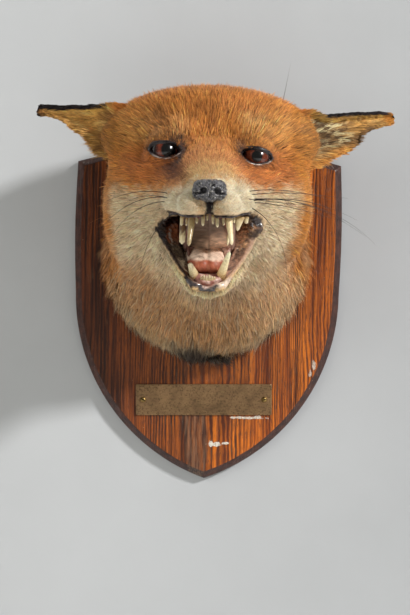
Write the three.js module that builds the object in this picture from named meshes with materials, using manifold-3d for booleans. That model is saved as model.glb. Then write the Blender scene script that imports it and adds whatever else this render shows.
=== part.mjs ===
// A fox mask with a snarl, mounted on a heraldic oak shield with a brass plate.
// Millimetres, +Z up.  The origin is the middle of the shield's flat back, which
// hangs against the wall: the wall is the plane y = 0 and the fox looks along -Y.
// The flesh pieces reach out to the tips of the coat.

import * as THREE from 'three';
import { ParametricGeometry } from 'three/addons/geometries/ParametricGeometry.js';
import * as BGU from 'three/addons/utils/BufferGeometryUtils.js';
import Module from 'manifold-3d';

const wasm = await Module();
wasm.setup();

// ---------------------------------------------------------------- sizes
const GAP = 0.3;                 // clearance between pieces that touch

const SHIELD_T = 9;              // thickness of the board
const SHIELD_CHAMFER = 4.4;      // bevel round its front edge
const SHIELD_HALF_W = 87.0;      // half width at the shoulders
const SHIELD_BULGE = 1.2;        // how much the long sides swell
const SHIELD_TOP_Z = 90.3;       // the two top corners
const SHIELD_PEAK_Z = 120.8;      // the peak in the middle of the top
const SHIELD_TIP_Z = -117.8;      // the point below
const SHIELD_SIDE_Z = 4;         // where the sides start to curve in
const TOP_SLOPE = 0.26;          // slope of the top edge at the corners

const PLATE_W = 89.6, PLATE_H = 20.5, PLATE_T = 1.2;
const PLATE_Z = -65.7, PLATE_X = -1.0, PLATE_TURN = 1.1;   // degrees
const SCREW_R = 1.9, SCREW_H = 1.3, SCREW_X = 39.9;

const NECK_Y = -(SHIELD_T + GAP);  // the neck is cut flat on the board
const NECK_CUT_Y = -58;            // parting of neck and head, at mid height
const NECK_CUT_LEAN = 14;          // degrees, the throat side forward

const NOSE_Y = -205;               // tip of the nose
const EYE_R = 9.2;
const EYES = { left: [-27.1, -122.8, 89.0], right: [27.8, -122.8, 86.2] };

const MOUTH_CORNER = [-136, 43.5];   // y, z of the corner of the lips
const UPPER_LIP_SLOPE = 0.03;        // the upper lip is nearly level
const JAW_OPEN = 45;                 // degrees between the lips
const JAW_PART = 24;                 // degrees, fall of the jaw's parting line to the back

const EAR = {
  left: { root: [-44, -94, 105], tip: [-110.2, -62, 117.2], up: [13.5, 13.6, 11.4, 9.0, 6.8, 5.4],
          down: [22, 22.5, 22.8, 21, 16.6, 12.6, 10.4, 7.4, 5.0, 4.0, 4.8], bow: 5 },
  right: { root: [44, -94, 101.5], tip: [116.2, -62, 117.4], up: [15, 14.5, 9.8, 8.8, 7.0, 4.6],
           down: [23, 23.8, 23.8, 22.8, 21.2, 18.8, 15.8, 8.4, 6.6, 6.0, 5.6], bow: 5 },
};
const EAR_T = 2.8;                   // thickness with its short fur

// ---------------------------------------------------------------- solids
function cleaned(geometry) {
  const g = geometry.index ? geometry.clone() : geometry.clone();
  g.deleteAttribute('normal');
  g.deleteAttribute('uv');
  const m = BGU.mergeVertices(g, 1e-3);
  const idx = m.index.array, keep = [];
  for (let i = 0; i < idx.length; i += 3) {
    const [a, b, c] = [idx[i], idx[i + 1], idx[i + 2]];
    if (a !== b && b !== c && a !== c) keep.push(a, b, c);
  }
  m.setIndex(keep);
  return m;
}

function solid(geometry, matrix = null) {
  const g = geometry.clone();
  if (matrix) g.applyMatrix4(matrix);
  const m = cleaned(g);
  let made = new wasm.Manifold(new wasm.Mesh({
    numProp: 3,
    vertProperties: new Float32Array(m.attributes.position.array),
    triVerts: new Uint32Array(m.index.array),
  }));
  return made;
}

function geometryOf(manifold) {
  const mesh = manifold.getMesh();
  const p = new Float32Array((mesh.vertProperties.length / mesh.numProp) * 3);
  for (let i = 0; i < p.length / 3; i++) {
    for (let k = 0; k < 3; k++) p[3 * i + k] = mesh.vertProperties[i * mesh.numProp + k];
  }
  const g = new THREE.BufferGeometry();
  g.setAttribute('position', new THREE.BufferAttribute(p, 3));
  g.setIndex([...mesh.triVerts]);
  const c = cleaned(g);
  c.computeVertexNormals();
  return c;
}

// the largest of the closed bodies that a cut leaves
function biggest(manifold) {
  let best = null;
  for (const part of manifold.decompose()) {
    if (!best || part.volume() > best.volume()) best = part;
  }
  return best;
}

const at = (x, y, z) => new THREE.Matrix4().makeTranslation(x, y, z);
const turned = (x, y, z, rx, ry = 0, rz = 0) => at(x, y, z).multiply(
  new THREE.Matrix4().makeRotationFromEuler(new THREE.Euler(
    THREE.MathUtils.degToRad(rx), THREE.MathUtils.degToRad(ry), THREE.MathUtils.degToRad(rz))));

function ellipsoid(c, r, rx = 0, ry = 0, n = 14) {
  const g = new THREE.SphereGeometry(1, n, Math.round(n * 0.6));
  g.scale(...r);
  return solid(g, turned(...c, rx, ry));
}

// ---------------------------------------------------------------- the form of the head
// Distance-like functions, negative inside.  Every mass is a rounded body and they
// melt into one another over k millimetres.
const melt = (a, b, k) => {
  const h = Math.max(k - Math.abs(a - b), 0) / k;
  return Math.min(a, b) - h * h * k * 0.25;
};

function egg(p, c, r) {
  const x = p.x - c[0], y = p.y - c[1], z = p.z - c[2];
  const k0 = Math.hypot(x / r[0], y / r[1], z / r[2]) + 1e-9;
  const k1 = Math.hypot(x / r[0] ** 2, y / r[1] ** 2, z / r[2] ** 2) + 1e-9;
  return k0 * (k0 - 1) / k1;
}

// a cone with round ends, from a (radius ra) to b (radius rb), widened by w across X
function cone(p, a, b, ra, rb, w = 1) {
  const pa = [(p.x - a[0]) / w, p.y - a[1], p.z - a[2]];
  const ba = [(b[0] - a[0]) / w, b[1] - a[1], b[2] - a[2]];
  const l2 = ba[0] ** 2 + ba[1] ** 2 + ba[2] ** 2, rr = ra - rb, a2 = l2 - rr * rr, il2 = 1 / l2;
  const y = pa[0] * ba[0] + pa[1] * ba[1] + pa[2] * ba[2], z = y - l2;
  let x2 = 0;
  for (let i = 0; i < 3; i++) x2 += (pa[i] * l2 - ba[i] * y) ** 2;
  const y2 = y * y * l2, z2 = z * z * l2, k = Math.sign(rr) * rr * rr * x2;
  if (Math.sign(z) * a2 * z2 > k) return Math.sqrt(x2 + z2) * il2 - rb;
  if (Math.sign(y) * a2 * y2 < k) return Math.sqrt(x2 + y2) * il2 - ra;
  return (Math.sqrt(x2 * a2 * il2) + y * rr) * il2 - ra;
}

function upperForm(p) {
  const m = new THREE.Vector3(Math.sqrt(p.x * p.x + 1), p.y, p.z);
  let d = egg(p, [-1.4, -23.6, 30.1], [63.7, 67, 64.3]);        // neck and its ruff
  d = melt(d, egg(p, [-3.7, -70.1, 48], [59.2, 58, 58.4]), 20);
  d = melt(d, egg(p, [0, -74, 94.3], [65.4, 50, 35.7]), 20);    // cranium
  d = melt(d, egg(p, [0, -84, 111.6], [51.6, 32, 18.8]), 16);   // forehead
  d = melt(d, egg(m, [44.5, -81.6, 100.3], [18.5, 24.5, 14.9]), 16);   // swelling at the ear
  d = melt(d, egg(m, [42.9, -90, 58.3], [20.3, 32, 31]), 16);   // cheekbone
  d = melt(d, egg(m, [27, -112, 70], [19, 26, 19]), 18);        // below the eye
  d = melt(d, egg(m, [22, -112, 40], [19, 26, 20]), 16);        // corner of the mouth
  d = melt(d, egg(m, [25, -108, 97], [17, 19, 10]), 12);        // brow
  d = melt(d, cone(p, [0, -190, 58], [0, -128, 72], 8.5, 23, 1.32), 14);   // muzzle
  d = melt(d, egg(m, [10, -183, 54], [9.5, 17, 8.5]), 4);       // whisker pads
  d = melt(d, cone(m, [17, -160, 60], [27, -118, 66], 9.5, 16), 7);    // bunched lip, back to the cheek
  d = melt(d, egg(m, [17, -163, 57], [10, 20, 10]), 5);
  return d;
}

function jawForm(p) {
  const m = new THREE.Vector3(Math.sqrt(p.x * p.x + 1), p.y, p.z);
  const d = cone(p, [0, -158, 9], [0, -95, 30], 8.5, 26, 1.15);
  return melt(d, cone(m, [7.5, -165, 6.5], [24.5, -132, 37], 4.5, 9), 6);  // lower lips
}

// The surface of a form round a spine from a to b.  Rays leave the spine square to
// it, and fan out round its ends.  With flat, the first end is cut square instead.
function loft(form, a, b, around, endA, along, endB, flat = false, power = 1) {
  const A = new THREE.Vector3(...a), B = new THREE.Vector3(...b);
  const axis = flat ? new THREE.Vector3(0, -1, 0) : B.clone().sub(A).normalize();
  const side = new THREE.Vector3(1, 0, 0), up = new THREE.Vector3().crossVectors(side, axis).negate();
  const rows = endA + along + endB;
  const reach = (o, dir) => {
    const at = (r) => form(o.clone().addScaledVector(dir, r));
    let r = 150;
    for (let i = 0; i < 200; i++) {
      const d = at(r);
      if (d < 0.02) break;
      r -= Math.max(0.5 * d, 0.02);
      if (r < 0.5) return 0.5;
    }
    return r;
  };
  const make = (u, v, out) => {
    const row = v * rows, t = 2 * Math.PI * u;
    const across = side.clone().multiplyScalar(Math.cos(t)).addScaledVector(up, Math.sin(t));
    let o, dir;
    if (row < endA - 1e-9) {
      if (flat) { out.copy(A); return; }
      const f = Math.PI / 2 * row / endA;
      o = A; dir = axis.clone().multiplyScalar(-Math.cos(f)).addScaledVector(across, Math.sin(f));
    } else if (row <= endA + along + 1e-9) {
      const s = ((row - endA) / along) ** power;
      o = A.clone().lerp(B, s);
      dir = across;
    } else {
      const f = Math.PI / 2 * (1 - (row - endA - along) / endB);
      o = B; dir = axis.clone().multiplyScalar(Math.cos(f)).addScaledVector(across, Math.sin(f));
    }
    out.copy(o).addScaledVector(dir, reach(o, dir));
  };
  return solid(new ParametricGeometry(make, around, rows));
}

const upper = loft(upperForm, [-3, NECK_Y, 44], [0, -191, 58.5], 34, 1, 25, 3, true, 0.8);
const jaw = loft(jawForm, [0, -106, 27], [0, -159, 10], 20, 3, 8, 3);

// ---------------------------------------------------------------- the mouth
// The open wedge between the lips runs right across; behind it lies the hollow of
// the mouth: the palate's vault, the trough of the lower jaw and the throat.
function wedge() {
  const [cy, cz] = MOUTH_CORNER, L = 95;
  const shape = new THREE.Shape();
  const lower = THREE.MathUtils.degToRad(180 + JAW_OPEN);
  // drawn in (y, z), rounded at the corner of the lips
  shape.moveTo(cy + 1.5, cz - 0.5);
  shape.quadraticCurveTo(cy + 1.2, cz + 1.6, cy - 2, cz + 2);
  shape.lineTo(cy - L, cz + 2 + UPPER_LIP_SLOPE * L);
  shape.lineTo(cy - L, cz + L * Math.sin(lower));
  shape.lineTo(cy + L * Math.cos(lower), cz + L * Math.sin(lower));
  shape.closePath();
  const g = new THREE.ExtrudeGeometry(shape, { depth: 120, bevelEnabled: false, curveSegments: 4 });
  // shape x -> world y, shape y -> world z, depth -> world x
  const m = new THREE.Matrix4().makeBasis(
    new THREE.Vector3(0, 1, 0), new THREE.Vector3(0, 0, 1), new THREE.Vector3(1, 0, 0));
  m.setPosition(-60, 0, 0);
  return solid(g, m);
}
const VAULT = { c: [0, -152, 46], r: [18, 37.5, 9.5] };
const THROAT = { c: [0, -132, 37], r: [25, 21, 15] };
const TROUGH = { c: [0, -147, 27], r: [15, 27, 9], rx: 45 };
const gape = wedge();
const vault = ellipsoid(VAULT.c, VAULT.r, 0, 0, 18);
const throat = ellipsoid(THROAT.c, THROAT.r, 0, 0, 16);
const trough = ellipsoid(TROUGH.c, TROUGH.r, TROUGH.rx, 0, 18);
const hollow = gape.add(vault).add(throat).add(trough);

const eyeball = (c, r) => ellipsoid(c, [r, r, r], 0, 0, 16);

// ---------------------------------------------------------------- nose
// A pad with a flat face, a groove down its middle and two nostrils.
function nosePad(grow) {
  let pad = ellipsoid([0, NOSE_Y + 7.5, 61.6], [9.6 + grow, 7.6 + grow, 6.1 + grow], 8, 0, 14);
  pad = pad.add(ellipsoid([0, NOSE_Y + 7, 57.8], [5.2 + grow, 5.6 + grow, 3.7 + grow], 0, 0, 10));
  return pad;
}
let nose = nosePad(0);
for (const s of [-1, 1]) {
  nose = nose.subtract(ellipsoid([s * 3.9, NOSE_Y + 0.6, 61.6], [1.9, 3.4, 1.5], 0, s * 12, 10));
}
nose = nose.subtract(ellipsoid([0, NOSE_Y - 1.2, 56], [0.8, 2.6, 9], 0, 0, 8));

// ---------------------------------------------------------------- head, jaw and neck
let flesh = upper.add(jaw).subtract(hollow);
for (const side of ['left', 'right']) {
  const [x, y, z] = EYES[side];
  flesh = flesh.subtract(eyeball([x, y, z], EYE_R + GAP))
    .subtract(ellipsoid([x, y - 11, z], [12, 8, 5.6], 0, 0, 12));
}
flesh = biggest(flesh.subtract(nosePad(GAP)));

// half of space on one side of a plane, as a big box
function half(point, normal) {
  const L = 400, g = new THREE.BoxGeometry(L, L, L);
  g.translate(0, 0, L / 2);
  const q = new THREE.Quaternion().setFromUnitVectors(new THREE.Vector3(0, 0, 1), new THREE.Vector3(...normal).normalize());
  return solid(g, new THREE.Matrix4().compose(new THREE.Vector3(...point), q, new THREE.Vector3(1, 1, 1)));
}
const lean = THREE.MathUtils.degToRad(NECK_CUT_LEAN);
const neckN = [0, Math.cos(lean), Math.sin(lean)];            // points back, and up
const along = (p, n, d) => [p[0] + n[0] * d, p[1] + n[1] * d, p[2] + n[2] * d];
const neckP = [0, NECK_CUT_Y, 45];
const back = half(along(neckP, neckN, GAP / 2), neckN);
const front = half(along(neckP, neckN, -GAP / 2), neckN.map((v) => -v));
// the jaw parts from the head along a line that runs back and down from the corner
// of the lips, and forward through the open mouth
function sideProfile(points) {
  const shape = new THREE.Shape(points.map(([y, z]) => new THREE.Vector2(y, z)));
  const g = new THREE.ExtrudeGeometry(shape, { depth: 240, bevelEnabled: false });
  const m = new THREE.Matrix4().makeBasis(
    new THREE.Vector3(0, 1, 0), new THREE.Vector3(0, 0, 1), new THREE.Vector3(1, 0, 0));
  return solid(g, m.setPosition(-120, 0, 0));
}
const [jy, jz] = [MOUTH_CORNER[0], MOUTH_CORNER[1] - 1.2];
const jawSlope = Math.tan(THREE.MathUtils.degToRad(JAW_PART));
const partLine = (dz) => [[0, jz - jawSlope * (0 - jy) + dz], [jy, jz + dz], [-260, jz - 0.4 * (jy + 260) + dz]];
const above = sideProfile([...partLine(GAP / 2), [-260, 200], [0, 200]]);
const below = sideProfile([...partLine(-GAP / 2), [-260, -200], [0, -200]]);

let neck = biggest(flesh.intersect(back));
const forward = flesh.intersect(front);
let head = biggest(forward.intersect(above));
let lowerJaw = biggest(forward.intersect(below));

// ---------------------------------------------------------------- ears
// A thin bowl that tapers to a blunt tip, hollow to the front, laid out sideways.
const tabled = (table, s) => {
  const f = s * (table.length - 1), i = Math.min(Math.floor(f), table.length - 2);
  const t = f - i, h = t * t * (3 - 2 * t);
  return table[i] * (1 - h) + table[i + 1] * h;
};
function ear(side, grow = 0) {
  const e = EAR[side], root = new THREE.Vector3(...e.root), tip = new THREE.Vector3(...e.tip);
  const run = tip.clone().sub(root), across = new THREE.Vector3(0, -0.15, 1);
  across.addScaledVector(run, -across.dot(run) / run.lengthSq()).normalize();
  const out = new THREE.Vector3().crossVectors(run, across).normalize();
  if (out.y > 0) out.negate();                                 // towards the front
  const N = 12, M = 8;
  // u goes once round the section: front face from top to bottom, back face up again
  const make = (u, v, p) => {
    const s = Math.min(1, v * 1.0);
    const round = s > 0.9 ? Math.sqrt(Math.max(0, 1 - ((s - 0.9) / 0.1) ** 2)) : 1;
    const a = tabled(e.up, s) * round, b = tabled(e.down, s) * round;
    const th = (EAR_T + 2 * grow) * (0.55 + 0.45 * (1 - s)) * (0.25 + 0.75 * round);
    const ang = 2 * Math.PI * u;
    const c = Math.cos(ang);                                   // 1 top edge, -1 lower edge
    const w = c > 0 ? c * a : c * b;
    const depth = e.bow * (1 - s) ** 0.8 * (1 - c * c) + 3.5 * Math.sin(Math.PI * s) * (1 - c * c);
    p.copy(root).addScaledVector(run, s).addScaledVector(across, w)
      .addScaledVector(out, -depth + Math.sin(ang) * th / 2 * (side === 'left' ? 1 : 1));
  };
  const cap = (u, v, p) => {
    if (v < 0.5 / (N + 1)) { make(0.25, 0, p); const q = new THREE.Vector3(); make(0.75, 0, q); p.add(q).multiplyScalar(0.5); return; }
    make(u, Math.min(1, (v * (N + 1) - 1) / N), p);
  };
  let g = new ParametricGeometry(cap, 2 * M, N + 1);
  let s = solid(g);
  if (s.volume() < 0) {
    const c = cleaned(g), i = c.index.array;
    for (let k = 0; k < i.length; k += 3) { const t = i[k]; i[k] = i[k + 1]; i[k + 1] = t; }
    s = solid(c);
  }
  return s;
}
const inflated = (form, d) => (p) => form(p) - d;
const outerSkin = loft(inflated(upperForm, GAP), [-3, NECK_Y, 44], [0, -191, 58.5], 34, 1, 25, 3, true, 0.8);
const ears = {};
for (const side of ['left', 'right']) {
  ears[side] = biggest(ear(side).subtract(outerSkin));
}

// ---------------------------------------------------------------- teeth, gums and tongue
// A tooth is a bent tapering cone on an oval base.
function tooth(base, tip, rx, ry, bend = 0, n = 7) {
  const b = new THREE.Vector3(...base), t = new THREE.Vector3(...tip), run = t.clone().sub(b);
  const len = run.length(), dir = run.clone().normalize();
  const sx = new THREE.Vector3(1, 0, 0).addScaledVector(dir, -dir.x).normalize();
  const sy = new THREE.Vector3().crossVectors(dir, sx);
  const rows = 4;
  const g = new ParametricGeometry((u, v, p) => {
    const row = v * rows;
    const s = row < 1 ? 0 : (row - 1) / (rows - 1), a = -2 * Math.PI * u;
    const w = row < 1 - 1e-9 ? 0 : (1 - s) ** 0.75 * (1 - 0.1 * s) + (s < 1 ? 0 : 0);
    p.copy(b).addScaledVector(dir, s * len).addScaledVector(sy, bend * Math.sin(Math.PI * s * 0.5) * s)
      .addScaledVector(sx, rx * w * Math.cos(a)).addScaledVector(sy, ry * w * Math.sin(a));
  }, n, rows);
  let s = solid(g);
  if (s.volume() < 0) {
    const c = cleaned(g), i = c.index.array;
    for (let k = 0; k < i.length; k += 3) { const q = i[k]; i[k] = i[k + 1]; i[k + 1] = q; }
    s = solid(c);
  }
  return s;
}
const shrunk = (e, d) => ellipsoid(e.c, e.r.map((r) => r - d), e.rx ?? 0, 0, 18);

// upper: the palate with its gum, cut level, and the teeth that grow from it
const PALATE_FALL = 0.335;                                      // down to the throat, per mm
const sockets = [];                                            // room for the teeth in the lips
let upperGum = shrunk(VAULT, GAP).intersect(half([0, -184, 46.6], [0, PALATE_FALL, 1]));
for (const [x, y, r, z] of [[-6.9, -183.4, 1.05, 42.8], [-3.4, -186.0, 1.15, 41.4], [-0.9, -186.6, 0.75, 44.2],
  [2.3, -186.4, 0.9, 42.6], [4.8, -185.2, 1.2, 40.8], [8.3, -183.0, 1.0, 42.0]]) {
  upperGum = upperGum.add(tooth([x * 0.97, y + 1.4, 48.2], [x * 1.02, y - 0.5, z], r * 1.15, 1.05, 0, 6));
}
for (const [x0, x1, z1] of [[-9.4, -11.4, 29.8], [11.0, 13.4, 30.8]]) {
  upperGum = upperGum.add(tooth([x0, -178, 48.2], [x1, -184.6, z1], 2.7, 3.1, 0.6, 8));
  sockets.push(tooth([x0, -178, 48.2 + GAP], [x1, -184.6, z1 - 1], 2.7 + 1.5 * GAP, 3.1 + 1.5 * GAP, 0.6, 8));
}
for (const [b, t, rx, ry] of [
  [[-13.4, -166.5, 43.0], [-15.4, -169.0, 31.4], 2.4, 2.8], [[-13.6, -169.5, 46.2], [-16.0, -171.5, 42.0], 1.6, 1.6],
  [[-13.6, -156.0, 42.0], [-16.2, -156.6, 36.0], 1.9, 3.2], [[14.4, -167.5, 46.6], [16.6, -170.0, 39.6], 3.0, 2.3],
  [[14.4, -163.0, 45.0], [19.8, -165.5, 43.4], 1.8, 1.7], [[10.8, -168.0, 41.5], [11.1, -171.0, 31.2], 1.3, 1.5]]) {
  upperGum = upperGum.add(tooth(b, t, rx, ry, 0, 6));
  sockets.push(tooth([b[0], b[1] + 0.2, b[2] + GAP], [t[0], t[1], t[2] - 1], rx + 1.5 * GAP, ry + 1.5 * GAP, 0, 6));
}

// lower: the floor of the trough with its gum, and its teeth; u runs along the jaw
const jawA = THREE.MathUtils.degToRad(JAW_OPEN);
const jawPoint = (x, u, h) => [x,                              // u forward from the corner, h off the lip plane
  MOUTH_CORNER[0] - u * Math.cos(jawA) - h * Math.sin(jawA),
  MOUTH_CORNER[1] - u * Math.sin(jawA) + h * Math.cos(jawA)];
const floorN = [0, Math.sin(jawA), -Math.cos(jawA)];           // into the jaw
let lowerGum = shrunk(TROUGH, GAP).intersect(half(jawPoint(0, 20, -2.2), floorN))
  .intersect(half(jawPoint(0, 9, 0), [0, -Math.cos(jawA), -Math.sin(jawA)]));
for (const i of [-2.5, -1.5, -0.5, 0.5, 1.5, 2.5]) {
  const a = i * 0.22;
  const p = (k, h) => jawPoint(7.0 * Math.sin(a) * k, 36.8 + 5.2 * Math.cos(a), h);
  lowerGum = lowerGum.add(tooth(p(1, -4.4), p(1.06, 0.6), 1.15, 1.0, 0, 6));
}
for (const [s, x, u, h] of [[-1, 10.6, 38.4, 5.0], [1, 12.4, 39.0, 15.8]]) {
  lowerGum = lowerGum.add(tooth(jawPoint(s * 6.8, 35.8, -4.2), jawPoint(s * x, u, h), 2.6, 2.8, 0.6, 8));
}

// the tongue lies in the trough on the gum, with a furrow down its middle
const TONGUE_SLOPE = 14.5;
const tongueBody = (grow) => ellipsoid([-0.5, -142, 23.2], [11.5 + grow, 19.5 + grow, 7.8 + grow], TONGUE_SLOPE, 0, 16);
const roomy = shrunk(TROUGH, 2.5 * GAP).add(shrunk(THROAT, 3 * GAP));
lowerGum = lowerGum.subtract(tongueBody(GAP));
let tongue = tongueBody(0).intersect(roomy).subtract(ellipsoid([-0.5, -142, 34.0], [4.6, 26, 4.4], TONGUE_SLOPE, 0, 12));
tongue = biggest(tongue);

// ---------------------------------------------------------------- the oak shield
function shieldShape() {
  const s = new THREE.Shape();
  const W = SHIELD_HALF_W, t = W, c = (SHIELD_PEAK_Z - SHIELD_TOP_Z - TOP_SLOPE * t) / (t * t);
  const top = (x) => { const d = W - Math.abs(x); return SHIELD_TOP_Z + TOP_SLOPE * d + c * d * d; };
  const n = 8;
  // from the tip up the right side, over the top and down the left
  const R = (W * W + (SHIELD_TIP_Z - SHIELD_SIDE_Z) ** 2) / (2 * W);   // arc from the side to the tip
  const cx = W - R, aTip = Math.atan2(SHIELD_TIP_Z - SHIELD_SIDE_Z, -cx);
  const right = [];
  for (let i = 0; i <= 14; i++) {
    const a = aTip * (1 - i / 14);
    right.push([cx + R * Math.cos(a), SHIELD_SIDE_Z + R * Math.sin(a)]);
  }
  for (let i = 1; i <= 6; i++) {
    const z = SHIELD_SIDE_Z + (SHIELD_TOP_Z - SHIELD_SIDE_Z) * i / 6;
    right.push([W + SHIELD_BULGE * Math.sin(Math.PI * i / 6), z]);
  }
  for (let i = 1; i <= n; i++) { const x = W * (1 - i / n); right.push([x, top(x)]); }
  right.forEach(([x, z], i) => (i ? s.lineTo(x, z) : s.moveTo(x, z)));
  for (let i = right.length - 2; i > 0; i--) s.lineTo(-right[i][0], right[i][1]);
  s.closePath();
  return s;
}
function shield() {
  const shape = shieldShape();
  // the body, with the bevel at both faces, then the back one cut away
  const g = new THREE.ExtrudeGeometry(shape, {
    depth: SHIELD_T, bevelEnabled: true, bevelThickness: SHIELD_CHAMFER, bevelSize: SHIELD_CHAMFER,
    bevelOffset: -SHIELD_CHAMFER, bevelSegments: 1, curveSegments: 4,
  });
  // shape x -> X, shape y -> Z, depth -> -Y
  const m = new THREE.Matrix4().makeBasis(
    new THREE.Vector3(1, 0, 0), new THREE.Vector3(0, 0, 1), new THREE.Vector3(0, -1, 0));
  m.setPosition(0, SHIELD_CHAMFER, 0);
  let s = solid(g, m);
  return biggest(s.intersect(half([0, 0, 0], [0, -1, 0])));
}

// ---------------------------------------------------------------- brass plate and its screws
const plateM = turned(PLATE_X, -(SHIELD_T + GAP), PLATE_Z, 0, -PLATE_TURN, 0);
let plate = solid(new THREE.BoxGeometry(PLATE_W, PLATE_T, PLATE_H).translate(0, -PLATE_T / 2, 0), plateM);
function screw(side) {
  const profile = [[0, 0], [SCREW_R, 0]];
  for (let i = 1; i <= 3; i++) {
    const a = (Math.PI / 2) * (i / 3);
    profile.push([SCREW_R * Math.cos(a), SCREW_H * Math.sin(a)]);
  }
  profile[profile.length - 1][0] = 0;
  const g = new THREE.LatheGeometry(profile.map(([r, h]) => new THREE.Vector2(r, h)), 12);
  const m = plateM.clone().multiply(at(side * SCREW_X, -PLATE_T - GAP, 0))
    .multiply(new THREE.Matrix4().makeRotationX(Math.PI));
  let s = solid(g, m);
  const slot = new THREE.BoxGeometry(2 * SCREW_R + 1, 1.0, 0.55).rotateY(side * 0.5);
  return s.subtract(solid(slot, plateM.clone().multiply(at(side * SCREW_X, -PLATE_T - GAP - SCREW_H, 0))));
}

// ---------------------------------------------------------------- keep neighbours clear
for (const socket of sockets) head = biggest(head.subtract(socket));
lowerGum = biggest(lowerGum);
upperGum = biggest(upperGum);

// ---------------------------------------------------------------- the model
const look = (color, roughness, metalness = 0) => new THREE.MeshStandardMaterial({ color, roughness, metalness });
const group = new THREE.Group();
function put(name, manifold, material) {
  const mesh = new THREE.Mesh(geometryOf(manifold), material);
  mesh.name = name;
  group.add(mesh);
}
put('shield', shield(), look(0x8f4d22, 0.45));
put('plaque', plate, look(0x7d6a45, 0.4, 0.9));
put('plaque_screw_left', screw(-1), look(0x9a8350, 0.35, 0.95));
put('plaque_screw_right', screw(1), look(0x9a8350, 0.35, 0.95));
put('neck', neck, look(0xa98556, 0.9));
put('head', head, look(0xbb7a41, 0.9));
put('lower_jaw', lowerJaw, look(0xc9b48c, 0.9));
put('ear_left', ears.left, look(0xb98a45, 0.9));
put('ear_right', ears.right, look(0xb98a45, 0.9));
put('eye_left', eyeball(EYES.left, EYE_R), look(0x3a140a, 0.08));
put('eye_right', eyeball(EYES.right, EYE_R), look(0x3a140a, 0.08));
put('nose', nose, look(0x20242c, 0.35));
put('upper_gum_teeth', upperGum, look(0xd8c79c, 0.35));
put('lower_gum_teeth', lowerGum, look(0xd8c79c, 0.35));
put('tongue', tongue, look(0xb5736a, 0.35));

export default group;
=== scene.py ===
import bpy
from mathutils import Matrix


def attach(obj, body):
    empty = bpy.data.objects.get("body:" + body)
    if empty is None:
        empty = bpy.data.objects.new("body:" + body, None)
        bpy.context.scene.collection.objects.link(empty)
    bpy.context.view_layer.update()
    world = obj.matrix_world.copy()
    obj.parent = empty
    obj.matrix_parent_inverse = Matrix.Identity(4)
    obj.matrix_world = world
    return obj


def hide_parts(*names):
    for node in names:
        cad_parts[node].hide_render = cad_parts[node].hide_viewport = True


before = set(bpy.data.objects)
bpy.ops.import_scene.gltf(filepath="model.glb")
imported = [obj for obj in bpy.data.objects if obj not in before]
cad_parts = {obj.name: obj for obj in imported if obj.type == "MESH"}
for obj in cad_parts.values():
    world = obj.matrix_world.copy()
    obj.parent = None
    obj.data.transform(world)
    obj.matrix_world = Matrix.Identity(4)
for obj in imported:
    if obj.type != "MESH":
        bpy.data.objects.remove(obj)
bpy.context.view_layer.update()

import math

import bpy
import numpy as np
from mathutils import Matrix, Vector

# A fox mask on an oak shield. Lengths below are in millimetres until a mesh is made.
MM = 0.001
F = np.float32


# ------------------------------------------------------------------ forms
def ell(p, c, r, rx=0.0):
    q = p - np.array(c, F)
    if rx:
        a = math.radians(rx)
        y = q[:, 1] * math.cos(a) + q[:, 2] * math.sin(a)
        z = -q[:, 1] * math.sin(a) + q[:, 2] * math.cos(a)
        q = np.stack([q[:, 0], y, z], -1)
    r = np.array(r, F)
    k0 = np.sqrt(((q / r) ** 2).sum(-1)) + 1e-6
    k1 = np.sqrt(((q / (r * r)) ** 2).sum(-1)) + 1e-6
    return k0 * (k0 - 1) / k1


def smin(a, b, k):
    h = np.maximum(k - np.abs(a - b), 0) / k
    return np.minimum(a, b) - h * h * k * 0.25


def smax(a, b, k):
    return -smin(-a, -b, k)


def cone(p, a, b, ra, rb, w=1.0):
    s = np.array([1 / w, 1, 1], F)
    p, a, b = p * s, np.array(a, F) * s, np.array(b, F) * s
    ba = b - a
    l2 = float((ba * ba).sum())
    rr = ra - rb
    a2, il2 = l2 - rr * rr, 1 / l2
    pa = p - a
    y = pa @ ba
    z = y - l2
    x2 = ((pa * l2 - ba * y[:, None]) ** 2).sum(-1)
    y2, z2, k = y * y * l2, z * z * l2, np.sign(rr) * rr * rr * x2
    d = (np.sqrt(np.maximum(x2 * a2 * il2, 0)) + y * rr) * il2 - ra
    d = np.where(np.sign(y) * a2 * y2 < k, np.sqrt(x2 + y2) * il2 - ra, d)
    return np.where(np.sign(z) * a2 * z2 > k, np.sqrt(x2 + z2) * il2 - rb, d)


def mirrored(p):
    m = p.copy()
    m[:, 0] = np.sqrt(m[:, 0] ** 2 + 1)
    return m


def upper_form(p):
    m = mirrored(p)
    d = ell(p, (-1.4, -23.6, 30.1), (63.7, 67, 64.3))
    d = smin(d, ell(p, (-3.7, -70.1, 48), (59.2, 58, 58.4)), 20)
    d = smin(d, ell(p, (0, -74, 94.3), (65.4, 50, 35.7)), 20)
    d = smin(d, ell(p, (0, -84, 111.6), (51.6, 32, 18.8)), 16)
    d = smin(d, ell(m, (44.5, -81.6, 100.3), (18.5, 24.5, 14.9)), 16)
    d = smin(d, ell(m, (42.9, -90, 58.3), (20.3, 32, 31)), 16)
    d = smin(d, ell(m, (27, -112, 70), (19, 26, 19)), 18)
    d = smin(d, ell(m, (22, -112, 40), (19, 26, 20)), 16)
    d = smin(d, ell(m, (25, -108, 97), (17, 19, 10)), 12)
    d = smin(d, cone(p, (0, -190, 58), (0, -128, 72), 8.5, 23, 1.32), 14)
    d = smin(d, ell(m, (10, -183, 54), (9.5, 17, 8.5)), 4)
    d = smin(d, cone(m, (17, -160, 60), (27, -118, 66), 9.5, 16), 7)
    return smin(d, ell(m, (17, -163, 57), (10, 20, 10)), 5)


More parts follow.
